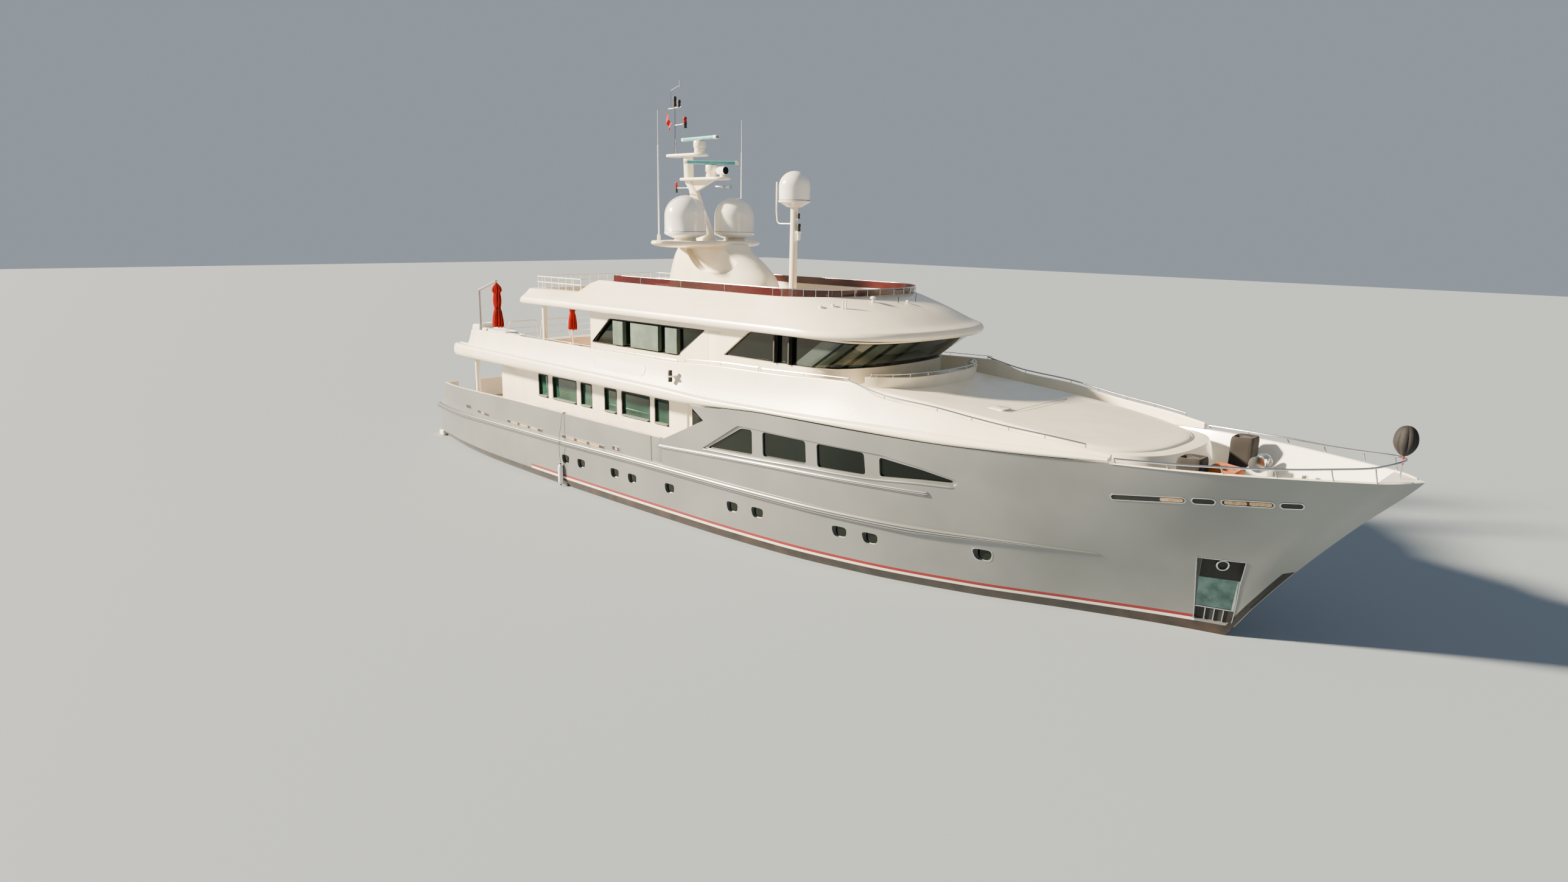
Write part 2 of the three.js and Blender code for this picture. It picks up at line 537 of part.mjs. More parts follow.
// A leaf that turns on two pins at its fore edge, in the plane of the wall
const DOOR_PIN = 8;
const hingedDoor = (door, sign) => {
  const { face, leaf } = HINGED;
  const [yLow, yHigh] = [sign * face, sign * (face - leaf)].sort((a, b) => a - b);
  const panel = block([door.aft + 9, yLow, door.low + 8], [door.fore - 9, yHigh, door.high - 8]);
  const pin = (from, to) => bar([door.fore - 18, sign * (face - DOOR_PIN), from],
    [door.fore - 18, sign * (face - DOOR_PIN), to], DOOR_PIN, 8);
  return join([panel, pin(door.low + 0.5, door.low + 60), pin(door.high - 60, door.high - 0.5)]);
};
const HINGED = { face: HOUSE_HALF - 5, leaf: 40 };

// The upper house with the wheelhouse at its fore end
const UPPER = { aft: -7050, low: UPPER_DECK + GAP, high: SUN_UNDERSIDE - GAP };
const WHEEL = { sill: 5890, lowFore: 5500, highFore: 6900, nose: 1500 };
const UPPER_WINDOW = [[-6980, 5640], [-1920, 5640], [-500, 6620], [-5840, 6600]];
const WHEEL_WINDOW = [[380, 5890], [8000, 5890], [8000, 6770], [1600, 6770]];
const BRIDGE_DOOR = { aft: -330, fore: 290, low: UPPER_DECK + 60, high: 6640 };
const housePlans = (inset) => {
  const aft = UPPER.aft + inset;
  const half = HOUSE_HALF - inset;
  const shape = (fore, z) => raised(plan(aft, fore - inset, half, WHEEL.nose, 0, 2.4), z);
  const out = inset ? 20 : 0;
  return [
    shape(WHEEL.lowFore, UPPER.low - out), shape(WHEEL.lowFore, WHEEL.sill - 30),
    shape(WHEEL.highFore, UPPER.high + out),
  ];
};
const upperHouse = () => {
  let walls = stack(housePlans(0)).subtract(stack(housePlans(WALL)));
  walls = walls.subtract(fromSide(UPPER_WINDOW, -4000, 4000)).subtract(fromSide(WHEEL_WINDOW, -4000, 4000));
  const { half, low, high } = AFT_DOOR;
  walls = walls.subtract(block([UPPER.aft - 10, -half, UPPER.low + low], [UPPER.aft + WALL + 10, half, UPPER.low + high]));
  return walls.subtract(block([BRIDGE_DOOR.aft, -4000, BRIDGE_DOOR.low], [BRIDGE_DOOR.fore, 4000, BRIDGE_DOOR.high]));
};
const upperGlass = (sign) => {
  const face = HOUSE_HALF - WALL - GAP;
  const span = [face - PANE, face].map((y) => sign * y).sort((a, b) => a - b);
  const frame = [[-6940, 5580], [-1800, 5580], [-420, 6690], [-5800, 6690]];
  return fromSide(frame, span[0], span[1]);
};
const wheelGlass = () => {
  const skin = stack(housePlans(WALL + GAP)).subtract(stack(housePlans(WALL + PANE)));
  return skin.intersect(block([420, -4000, WHEEL.sill - 60], [9000, 4000, SUN_UNDERSIDE - 20]));
};

// The sun deck: a roof with a round fascia, a brow over the wheelhouse and high sloping sides.
// Inset of the side, height, how far its ends draw in aft and forward, and length of the nose
const SUN = { aft: -11250, fore: 7350, half: 3770, nose: 3400 };
const sunPlan = (inset, aftIn, foreIn, z, nose = SUN.nose, aftInset = inset) => raised(
  plan(SUN.aft + aftIn, SUN.fore - foreIn, SUN.half - inset, nose, 260, 2.3).map(([x, y]) => {
    const wider = (SUN.half - aftInset) / (SUN.half - inset);
    return [x, y * between([[-10500, wider], [-7000, 1]], x)];
  }), z);
const sunRim = (x) => between([[-8000, 7460], [-7000, 7960], [2000, 7920], [4700, 7980]], x);
const sunDeck = () => {
  const shell = stack([
    sunPlan(250, 150, 300, SUN_UNDERSIDE), sunPlan(60, 30, 60, SUN_UNDERSIDE + 40), sunPlan(0, 0, 0, 6960),
    sunPlan(30, 30, 60, 7080), sunPlan(140, 110, 400, 7210),
    sunPlan(420, 180, 1200, (x) => mix(7210, sunRim(x), 0.45), SUN.nose, 230),
    sunPlan(740, 230, 2300, (x) => mix(7210, sunRim(x), 0.9), 2600, 310), sunPlan(800, 260, 2600, sunRim, 2400, 360),
  ]);
  const well = stack([
    sunPlan(1010, 560, 2900, SUN_DECK, 2200), sunPlan(900, 500, 2750, (x) => sunRim(x) + 20, 2300),
  ]);
  const aftCut = fromSide([[-12000, 7462], [-7840, 7462], [-7000, 7962], [-7000, 9000], [-12000, 9000]], -5000, 5000);
  return shell.subtract(well).subtract(aftCut);
};
const sunScreen = () => {
  const outer = stack([sunPlan(830, 600, 2650, (x) => sunRim(x) + GAP, 2350), sunPlan(850, 600, 2600, 8200, 2350)]);
  const inner = stack([sunPlan(852, 640, 2672, (x) => sunRim(x) - 20, 2340), sunPlan(872, 640, 2622, 8260, 2340)]);
  return outer.subtract(inner).intersect(block([-5880, -4000, 7000], [9000, 4000, 8190]));
};

// Trunk over the fore cabins, and the curved wall ahead of the wheelhouse
const trunkTop = (x) => between([[6000, 5480], [10300, 5150], [13600, 4800], [14600, 4750]], x);
const trunk = () => {
  const edge = (half, fore, nose, z) => plan(5700, fore, half, nose, 0, 2.6).map(([x, y]) => {
    const narrow = between([[5700, 1], [10300, 0.965], [13600, 0.88]], Math.min(x, fore - nose));
    return [x, y * narrow, typeof z === 'function' ? z(x) : z];
  });
  const body = stack([
    edge(2820, 14750, 3000, UPPER_DECK + GAP), edge(2800, 14450, 3000, (x) => trunkTop(x) - 120),
    edge(2740, 14300, 3000, trunkTop), edge(2300, 13700, 3000, (x) => trunkTop(x) + 45),
  ]);
  const foot = stack([
    raised(plan(WELL.aft + 2, 15150, 2400, 2100, 0, 2.6), WELL_DECK + GAP),
    raised(plan(WELL.aft + 2, 14750, 2380, 1800, 0, 2.6), UPPER_DECK + 60),
  ]);
  return body.add(foot);
};
const BRIDGE_RAIL = { fore: 7140, inset: 40, z: 5880, radius: 22, from: 6200 };
const bridgeRail = () => {
  const { fore, inset, z, radius, from } = BRIDGE_RAIL;
  const line = plan(3000, fore, 2860 - inset, 1900, 0, 2.6).filter(([x]) => x > from);
  const ends = [[from - 90, 1], [from - 90, -1]].map(([x, side], k) => [x, side * Math.abs(line[k && line.length - 1][1]), 5750]);
  const top = line.map(([x, y]) => [x, y, z]);
  const stands = line.filter((_, k) => k % 2 === 0).map(([x, y]) => bar([x - 10, y, 5730], [x, y, z], 16, 5));
  return join([rail([ends[0], ...top, ends[1]], radius), ...stands]);
};
const bridgeWall = () => {
  const loops = (inset, low, high) => [
    raised(plan(3000, 7060 - inset, 2860 - inset, 1900, 0, 2.6), low),
    raised(plan(3000, 7180 - inset, 2860 - inset, 1900, 0, 2.6), high)];
  return stack(loops(0, UPPER_DECK + 500, 5780)).subtract(stack(loops(80, UPPER_DECK + 400, 5900)))
    .intersect(block([6050, -4000, 4000], [9000, 4000, 6000])).add(bridgeRail());
};

// Mast
const WING_Z = 9380;
const RADOME = { x: -3800, y: 1220, z: 9580, radius: 765, height: 1510 };
// A plan outline round at both ends, about a place on the centreline
const oval = (x, long, wide, z, count = 24) => raised(Array.from({ length: count }, (_, k) => {
  const angle = (2 * Math.PI * k) / count;
  const round = (value) => Math.sign(value) * Math.abs(value) ** 0.9;
  return [x + long * round(Math.cos(angle)), wide * round(Math.sin(angle))];
}), z);
const WHIP = { x: -4300, y: 2050 };
const TOP_POLE = -5820;
const mast = () => {
  let body = stack([
    oval(-3150, 2880, 1080, SUN_DECK + GAP), oval(-3150, 2720, 1000, 8050), oval(-3330, 2350, 950, 8600),
    oval(-3500, 2030, 900, 8930), oval(-3600, 1750, 850, 9190), oval(-3650, 1600, 820, WING_Z),
  ]);
  const hollow = [[-4300, 9200], [-3880, 8790], [-3430, 8480], [-2990, 8370], [-1980, 8370], [-1740, 8520],
    [-1650, 8740], [-1780, 8960], [-1900, 9200]];
  [[-2000, -620], [620, 2000]].forEach(([low, high]) => {
    body = body.subtract(fromSide(hollow, low, high));
  });
  const wing = [
    [-5300, 0], [-5150, 850], [-4750, 1500], [-4430, 2150], [-4240, 2460], [-3950, 2570], [-3660, 2460], [-3450, 2150],
    [-2950, 1400], [-2350, 750], [-2250, 0],
  ];
  const wingPlan = [...wing, ...wing.slice(1, -1).reverse().map(([x, y]) => [x, -y])];
  const inner = (share) => wingPlan.map(([x, y]) => [mix(-3900, x, share), y * (share * 0.5 + 0.5)]);
  body = body.add(stack([
    raised(inner(0.55), WING_Z - 130), raised(inner(1), WING_Z + 20), raised(inner(0.97), WING_Z + 110),
  ]));
  body = body.add(stack([
    oval(-4090, 600, 330, WING_Z + 50, 14), oval(-4420, 380, 220, 10400, 14), oval(-4720, 220, 150, 11300, 14),
    oval(-4980, 200, 180, 11700, 14), oval(-5050, 190, 180, 12560, 14),
  ]));
  const shelf = (aft, fore, half, z) => fromAbove(plan(aft, fore, half, 420, 200, 2), z - 50, z + 50);
  body = body.add(shelf(-6080, -4040, 330, 12600)).add(shelf(-5250, -2860, 360, 11720));
  body = body.add(fromSide([[-4650, 11250], [-4750, 11700], [-3500, 11700]], -60, 60));
  SIDES.forEach(([, sign]) => {
    body = body.add(bar([RADOME.x, sign * RADOME.y, WING_Z + 80], [RADOME.x, sign * RADOME.y, RADOME.z - GAP], 420, 16));
    body = body.add(bar([WHIP.x, sign * WHIP.y, WING_Z + 60], [WHIP.x, sign * WHIP.y, 12800], 26, 6, 20));
    body = body.add(bar([WHIP.x, sign * WHIP.y, 12700], [WHIP.x, sign * WHIP.y, 13990], 9, 6, 6));
  });
  body = body.add(bar([TOP_POLE, 0, 12600], [TOP_POLE, 0, 14420], 42, 8, 32));
  body = body.add(bar([TOP_POLE, 0, 14400], [TOP_POLE, 0, 14760], 70, 10));
  body = body.add(bar([TOP_POLE - 370, 0, 14330], [TOP_POLE + 400, 0, 14360], 26, 6));
  body = body.add(bar([TOP_POLE, 0, 13720], [TOP_POLE + 580, 0, 13740], 26, 6));
  body = body.add(bar([TOP_POLE + 590, 0, 13590], [TOP_POLE + 590, 0, 13990], 80, 8));
  body = body.add(bar([TOP_POLE - 230, 0, 14330], [TOP_POLE - 230, 0, 15010], 16, 6));
  body = body.add(bar([TOP_POLE - 240, 0, 14980], [TOP_POLE + 300, 0, 15130], 14, 6));
  body = body.add(fromSide([[TOP_POLE + 260, 15060], [TOP_POLE + 300, 15060], [TOP_POLE + 320, 15320],
    [TOP_POLE + 270, 15320]], -10, 10));
  body = body.add(bar([-4950, 0, 11410], [-5760, 0, 11420], 24, 6)).add(bar([-5750, 0, 11240], [-5750, 0, 11640], 55, 10));
  HORNS.forEach(([fore, y, flare]) => {
    body = body.add(bar([-3380, y, 11440], [fore, y, 11420], 30, 10, flare)).add(bar([-3250, y, 11440], [-3250, y, 11700], 20, 6));
  });
  RADARS.forEach(({ x, z }) => {
    body = body.add(bar([x, 0, z - 540], [x, 0, z - 300], 200, 12)).add(bar([x, 0, z - 320], [x, 0, z - 70], 230, 12));
  });
  body = body.add(bar([-3170, 0, 11750], [-3170, 0, 11900], 90, 10)).add(bar([-3380, 0, 12000], [-2960, 0, 12000], 150, 10));
  return body;
};
const HORNS = [[-2820, 110, 90], [-2940, -110, 75]];
const RADARS = [
  { name: 'radar_upper', x: -4400, z: 13170, reach: 1080, turn: -5 },
  { name: 'radar_lower', x: -3750, z: 12290, reach: 1010, turn: 45 },
];
// A scanner bar on a short spindle that drops into the motor's top
const scanner = ({ x, z, reach, turn }) => {
  const blade = [[-reach, -60], [-reach + 80, -95], [reach - 80, -95], [reach, -60], [reach, 60], [reach - 80, 95],
    [-reach + 80, 95], [-reach, 60]];
  return fromAbove(blade, -60, 75).rotate([0, 0, turn]).translate([x, 0, z])
    .add(bar([x, 0, z - 110], [x, 0, z], 60, 24));
};
const spindleHole = ({ x, z }) => bar([x, 0, z - 130], [x, 0, z + 50], 61, 24);

const dome = (x, y, z, radius, height) => {
  const profile = [[0, 0], [radius * 0.55, 0], [radius, 160], [radius * 0.985, height - radius * 0.95]];
  for (let k = 1; k <= 5; k += 1) {
    const angle = (Math.PI / 2) * (k / 5);
    profile.push([Math.max(0, radius * 0.985 * Math.cos(angle)), height - radius * 0.95 * (1 - Math.sin(angle))]);
  }
  profile[profile.length - 1][0] = 0;
  return turned(profile, 20).translate([x, y, z]);
};
const DOME_POLE = 480;
const domePole = () => {
  const x = DOME_POLE;
  const pole = bar([x, 0, SUN_DECK + GAP], [x, 0, 10750], 140, 14, 125);
  const bracket = bar([x, 0, 10150], [x - 780, 0, 10150], 32, 6)
    .add(bar([x - 780, 0, 10130], [x - 850, 0, 11550], 20, 6, 12));
  const lamps = bar([x, 0, 9900], [x + 230, 0, 9900], 36, 6).add(bar([x + 230, 0, 9640], [x + 230, 0, 10400], 65, 8));
  return join([pole, bracket, lamps, dome(x, 0, 10700, 550, 1200)]);
};

// Rails
const posts = (points, height, radius) => points.map(([x, y, z]) => bar([x, y, z + GAP], [x, y, z + height], radius, 5));
const bowRail = () => {
  const rise = [[13950, 125], [15100, 140], [16200, 170], [17200, 200], [18200, 270], [18950, 350]];
  const half = rise.map(([x, height]) => [x, between(DECK_PLAN, x) - 60, between(SHEER, x), height]);
  const both = [...half, ...half.slice().reverse().map(([x, y, z, height]) => [x, -y, z, height])];
  const top = both.map(([x, y, z, height]) => [x, y, z + height]);
  top.splice(half.length, 0, [19330, 0, between(SHEER, 19300) + 430]);
  return join([rail(top, 26), ...both.flatMap(([x, y, z, height]) => posts([[x, y, z]], height, 18))]);
};
const upperRail = (sign) => {
  const xs = [6130, 7600, 9300, 10300, 11300, 12250, 13250];
  const base = xs.map((x) => [x, sign * (between(BELT, x, 5) - 55), between(BELT, x, 4)]);
  return join([rail(base.map(([x, y, z], k) => [x, y, z + (k ? 90 : 60)]), 26), ...posts(base, 90, 18)]);
};
const sunRail = () => {
  const [aft, fore, half, z] = [SUN.aft + 340, -7900, 3080, 7462];
  const base = [[fore, half - 80, z], [-9400, half, z], [aft + 150, half + 40, z], [aft, half - 120, z], [aft, 1000, z],
    [aft, -1000, z], [aft, 120 - half, z], [aft + 150, -40 - half, z], [-9400, -half, z], [fore, 80 - half, z]];
  const line = (height) => rail(base.map(([x, y, low]) => [x, y, low + height]), 20);
  return join([line(470), line(240), ...posts(base, 470, 18)]);
};

const sternRail = () => {
  const [x, half, z] = [-15720, 3400, UPPER_DECK];
  const base = [-half, -1700, 0, 1700, half].map((y) => [x, y, z]);
  const line = (height) => bar([x, -half, z + height], [x, half, z + height], 20, 6);
  return join([line(950), line(640), line(330), ...posts(base, 950, 20)]);
};

// A parasol that hangs furled from an arm, on a post that turns on the deck
const PARASOL = { x: -14330, y: -3740, top: 7190, reach: 1440, tip: 7640, low: 5700 };
const FURLED = [
  [0, 0], [230, 0.02], [265, 0.08], [150, 0.52], [130, 0.56], [170, 0.62], [190, 0.84], [60, 0.97], [0, 1],
];
const furled = (height, scale) => FURLED.map(([r, share]) => [r * scale, share * height]);
const parasolPost = () => {
  const { x, y, top, reach, tip } = PARASOL;
  return join([bar([x, y, UPPER_DECK + GAP], [x, y, top], 50, 12), bar([x, y, top - 30], [x + reach, y, tip], 60, 8)]);
};
const parasolCanopy = () => {
  const { x, y, reach, tip, low } = PARASOL;
  return turned(furled(tip - 45 - low, 1), 12).translate([x + reach, y, low]);
};
const tableParasol = () => {
  const [x, y, low, top] = [-13000, 0, 5350, 7150];
  return join([turned(furled(top - low, 0.85), 12).translate([x, y, low]),
    bar([x, y, UPPER_DECK + GAP], [x, y, low + 50], 30, 8), bar([x, y, UPPER_DECK + GAP], [x, y, UPPER_DECK + 90], 260, 12)]);
};
const anchorBall = () => {
  const [x, z] = [19270, 5660];
  const ball = turned([[0, -350], [160, -260], [250, 0], [160, 260], [0, 350]], 14).translate([x, 0, z]);
  return ball.add(bar([x, 0, 4780], [x, 0, z - 250], 20, 8));
};

// Assembly
let hull = makeHull();
SIDES.forEach(([, sign]) => { hull = hull.subtract(gateCut(sign)); });
add('hull', hull, FINISH.silver);

const inboard = insideHull(PLATING + GAP, CABIN.low + 800, CABIN.high - 20, CABIN.aft + 60, CABIN.fore - 200);
const deeper = insideHull(PLATING + PANE, CABIN.low + 700, CABIN.high + 50, CABIN.aft - 500, CABIN.fore + 500);
const hullGlass = inboard.subtract(deeper).decompose();
SIDES.forEach(([side, sign]) => {
  const pane = hullGlass.find((piece) => sign * (piece.boundingBox().min[1] + piece.boundingBox().max[1]) > 0);
  add(`hull_glass_${side}`, pane, FINISH.glass);
  add(`boarding_gate_${side}`, boardingGate(sign), FINISH.silver);
  add(`propeller_${side}`, propeller(sign), FINISH.bronze);
  add(`rudder_${side}`, rudder(sign), FINISH.antifoul);
});

add('swim_platform', fromAbove(
  plan(PLATFORM_AFT, TRANSOM + 400, 3300, 1, 300).map(([x, y]) => [Math.min(x, TRANSOM - GAP), y]),
  0, 230,
), FINISH.white);

add('saloon_house', saloon(), FINISH.white);
add('upper_deck', join([upperDeck(), ...SIDES.map(([, sign]) => coveredSeats(sign))]), FINISH.white);
add('upper_house', upperHouse(), FINISH.white);
SIDES.forEach(([side, sign]) => {
  add(`saloon_glass_${side}`, saloonGlass(sign), FINISH.glass);
  add(`saloon_door_${side}`, aftDoor(SALOON, sign), FINISH.glass);
  add(`side_door_${side}`, hingedDoor(SIDE_DOOR, sign), FINISH.white);
  add(`upper_glass_${side}`, upperGlass(sign), FINISH.glass);
  add(`upper_door_${side}`, aftDoor(UPPER, sign), FINISH.glass);
  add(`bridge_door_${side}`, hingedDoor(BRIDGE_DOOR, sign), FINISH.white);
  const wall = add(`upper_bulwark_${side}`, bulwark(sign).add(bulwarkFittings(sign)), FINISH.white);
  const pillar = (x, y, low, high) => bar([x, sign * y, low + GAP], [x, sign * y, high - GAP], 105, 16);
  add(`main_pillar_${side}`, pillar(-14860, 3700, MAIN_DECK, BELT_LOW), FINISH.white);
  add(`upper_pillar_${side}`, pillar(-9830, 3420, UPPER_DECK, SUN_UNDERSIDE), FINISH.white);
  add(`upper_rail_${side}`, clear(upperRail(sign), wall), FINISH.steel);
  add(`radome_${side}`, dome(RADOME.x, sign * RADOME.y, RADOME.z, RADOME.radius, RADOME.height), FINISH.white);
});
add('wheelhouse_glass', wheelGlass(), FINISH.glass);
const foreTrunk = add('trunk', trunk(), FINISH.white);
add('bridge_wall', clear(bridgeWall(), foreTrunk), FINISH.white);
const roof = add('sun_deck', sunDeck(), FINISH.white);
add('sun_screen', clear(sunScreen(), roof), FINISH.claret);
add('sun_rail', sunRail(), FINISH.steel);
add('stern_rail', sternRail(), FINISH.steel);
let mastBody = mast();
RADARS.forEach((radar) => {
  mastBody = mastBody.subtract(spindleHole(radar));
  add(radar.name, scanner(radar), FINISH.teal);
});
add('mast', mastBody, FINISH.white);
add('dome_pole', domePole(), FINISH.white);
add('bow_rail', clear(bowRail(), hull), FINISH.steel);
const post = add('parasol_post', parasolPost(), FINISH.steel);
add('parasol_canopy', clear(parasolCanopy(), post), FINISH.red);
add('table_parasol', tableParasol(), FINISH.red);
add('anchor_ball', clear(anchorBall(), hull), FINISH.black);

export default part;
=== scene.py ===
# %% [markdown]
# # A motor yacht of 39.6 m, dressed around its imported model
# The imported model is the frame: X points to the bow, Y to port, Z up, and the origin is on the
# waterline, 16 m aft of the stem. Sizes are in millimetres unless a comment says else.

# %% Load the frame and keep its box
import json
import math
import bpy
import numpy as np
from mathutils import Matrix, Vector

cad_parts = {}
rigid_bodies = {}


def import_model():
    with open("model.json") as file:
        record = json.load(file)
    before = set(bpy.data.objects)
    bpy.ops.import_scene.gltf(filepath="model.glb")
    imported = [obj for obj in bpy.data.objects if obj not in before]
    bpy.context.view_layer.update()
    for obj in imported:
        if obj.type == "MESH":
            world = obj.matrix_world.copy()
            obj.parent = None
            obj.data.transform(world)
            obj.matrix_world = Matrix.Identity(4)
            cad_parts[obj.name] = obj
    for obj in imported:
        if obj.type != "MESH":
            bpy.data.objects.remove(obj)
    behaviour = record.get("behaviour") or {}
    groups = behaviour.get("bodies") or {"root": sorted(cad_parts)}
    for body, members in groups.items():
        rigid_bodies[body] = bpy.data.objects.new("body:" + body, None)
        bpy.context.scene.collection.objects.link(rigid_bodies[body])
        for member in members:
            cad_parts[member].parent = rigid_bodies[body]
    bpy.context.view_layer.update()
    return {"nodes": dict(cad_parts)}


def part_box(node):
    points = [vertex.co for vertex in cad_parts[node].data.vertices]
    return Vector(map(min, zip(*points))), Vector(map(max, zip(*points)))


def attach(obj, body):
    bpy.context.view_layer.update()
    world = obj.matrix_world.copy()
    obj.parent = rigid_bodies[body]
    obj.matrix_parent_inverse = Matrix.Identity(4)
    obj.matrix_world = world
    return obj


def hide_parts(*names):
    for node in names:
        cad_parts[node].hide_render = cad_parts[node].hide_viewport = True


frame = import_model()

# %% [markdown]
# ## The camera
# The picture was taken from the air through a very wide lens. A straight-line lens is fitted to it, so
# that the hull, the roofs and the mast come closest to where the wide lens puts them.

# %% Camera
RIGHT = (0.720332, 0.693416, 0.01722)
UP = (-0.162936, 0.145025, 0.97592)
AHEAD = (-0.674221, 0.705792, -0.217449)
CAMERA_METRES = (23.7877, -24.7025, 10.0852)
SENSOR = 36.0
PICTURE_WIDE = 2576
FOCAL_PIXELS = 1588.1

camera = bpy.data.objects.new("camera", bpy.data.cameras.new("camera"))
bpy.context.scene.collection.objects.link(camera)
turn = Matrix((RIGHT, UP, [-c for c in AHEAD])).transposed()
camera.matrix_world = Matrix.Translation(CAMERA_METRES) @ turn.to_4x4()
camera.data.sensor_width = SENSOR
camera.data.lens = FOCAL_PIXELS * SENSOR / PICTURE_WIDE
bpy.context.scene.camera = camera
print("focal length", round(camera.data.lens, 2), "mm")

# %% [markdown]
# ## Numbers between the rows of a table
# A boat's lines are tables of stations. A straight line between rows would show as a chine in the
# paint, so a cubic is run through them whose slope at a row never overshoots its neighbours.

# %% Smooth and straight tables
MM = 0.001
SIDES = (("starboard", -1), ("port", 1))


def smooth(table, x, column=1):
    """A cubic through the rows. Its slope at a row is the weighted harmonic mean of the slopes beside it,
    or zero where their signs differ, and the end rows take their own side's slope."""
    rows = np.asarray(table, float)
    place, value = rows[:, 0], rows[:, column]
    step = np.diff(place)
    slope = np.diff(value) / step
    near, far = 2 * step[1:] + step[:-1], step[1:] + 2 * step[:-1]
    same = slope[1:] * slope[:-1] > 0
    safe = np.where(same, slope[:-1], 1), np.where(same, slope[1:], 1)
    middle = np.where(same, (near + far) / (near / safe[0] + far / safe[1]), 0)
    m = np.concatenate([slope[:1], middle, slope[-1:]])
    x = np.clip(x, place[0], place[-1])
    k = np.clip(np.searchsorted(place, x, side="right") - 1, 0, len(step) - 1)
    t = (x - place[k]) / step[k]
    return ((1 + 2 * t) * (1 - t) ** 2 * value[k] + t * (1 - t) ** 2 * step[k] * m[k]
            + t * t * (3 - 2 * t) * value[k + 1] + t * t * (t - 1) * step[k] * m[k + 1])


def straight(table, x, column=1):
    """Straight lines between the rows."""
    rows = np.asarray(table, float)
    return np.interp(x, rows[:, 0], rows[:, column])


def mix(a, b, share):
    """a + (b - a) share."""
    return a + (b - a) * share


def evenly(count, ends=0.35):
    """Places from 0 to 1 that lie closer together at both ends: a mix of t and (1 - cos pi t) / 2."""
    t = np.linspace(0, 1, count)
    return mix(t, (1 - np.cos(np.pi * t)) / 2, ends)


def round_angles(count):
    """Equally spaced angles of a circle."""
    return np.arange(count) * 2 * np.pi / count


def fuller(wave, power):
    """A wave to a power with its sign kept; under 1 it turns an ellipse towards a box."""
    return np.sign(wave) * np.abs(wave) ** power


def spread(side, near, far):
    """A low and a high Y on one side of the boat."""
    return sorted([side * near, side * far])


def row_of(*columns):
    """Points from columns of X, Y and Z; a plain number fills its column."""
    return np.stack(np.broadcast_arrays(*columns), -1).astype(float)


# %% [markdown]
# ## Forms
# A form is points in metres, four-cornered faces and a list of end faces with more corners. It is
# worked out with numpy as whole arrays and only becomes a mesh at the end.

# %% Grids and closed skins
def quads(rows, cols, around=True):
    """Corner numbers of a grid's faces; around joins the last column to the first."""
    r = np.arange(rows - 1)[:, None] * cols
    c = np.arange(cols if around else cols - 1)[None]
    d = (c + 1) % cols
    return np.stack([r + c, r + d, r + cols + d, r + cols + c], -1).reshape(-1, 4)


def outward(form):
    """Turns faces out: the sum of a . (b x c) over the triangles is six times the volume, so where that
    is negative every face is turned round."""
    points, faces, ends = form
    fans = [np.stack([np.full(len(e) - 2, e[0]), e[1:-1], e[2:]], 1) for e in ends]
    tris = np.concatenate([faces[:, [0, 1, 2]], faces[:, [0, 2, 3]], *fans])
    a, b, c = (points[tris[:, k]] - points.mean(0) for k in range(3))
    if np.einsum("ij,ij->", a, np.cross(b, c)) < 0:
        return points, faces[:, ::-1], [e[::-1] for e in ends]
    return form


def shell(rings):
    """A closed skin through rings of equally many points, with a flat face at either end."""
    rings = np.asarray(rings, float) * MM
    rows, cols = rings.shape[:2]
    ring = np.arange(cols)
    return outward((rings.reshape(-1, 3), quads(rows, cols), [ring[::-1], ring + (rows - 1) * cols]))


def mirrored(half):
    """A closed skin from lines on the port side: each ring is a line and its mirror image, and the ends
    are strips of faces from side to side."""
    half = np.asarray(half, float) * MM
    rows, many = half.shape[:2]
    rings = np.concatenate([half, (half * [1, -1, 1])[:, ::-1]], 1)
    k = np.arange(many - 1)
    strip = np.stack([k, k + 1, 2 * many - 2 - k, 2 * many - 1 - k], 1)
    faces = np.concatenate([quads(rows, 2 * many), strip[:, ::-1], strip + (rows - 1) * 2 * many])
    return outward((rings.reshape(-1, 3), faces, []))


def across(form):
    """The form on the other side."""
    return outward((form[0] * [1, -1, 1], form[1], form[2]))


def together(*forms):
    """Several forms as one."""
    base = np.cumsum([0] + [len(form[0]) for form in forms])
    return (np.concatenate([form[0] for form in forms]),
            np.concatenate([form[1] + start for form, start in zip(forms, base)]),
            [end + start for form, start in zip(forms, base) for end in form[2]])


# %% Bars, turned shapes and prisms
def tube(path, radius, sides=10):
    """A round bar along a path: each ring lies square to it, and its first direction is carried on from
    ring to ring, so that the bar doesn't twist."""
    path = np.asarray(path, float)
    way = np.gradient(path, axis=0)
    way /= np.linalg.norm(way, axis=1)[:, None]
    side = np.cross(way[0], [0, 0, 1] if abs(way[0][2]) < 0.9 else [1, 0, 0])
    carried = []
    for direction in way:
        side = side - direction * (side @ direction)
        side = side / np.linalg.norm(side)
        carried.append(side)
    first = np.array(carried)
    second = np.cross(way, first)
    angle = round_angles(sides)[:, None]
    thick = np.broadcast_to(radius, len(path))[:, None, None]
    return shell(path[:, None] + thick * (first[:, None] * np.cos(angle) + second[:, None] * np.sin(angle)))


def rod(a, b, radius, end=None, sides=16):
    """A straight round bar, which tapers where an end radius is given."""
    return tube([a, b], [radius, end or radius], sides)


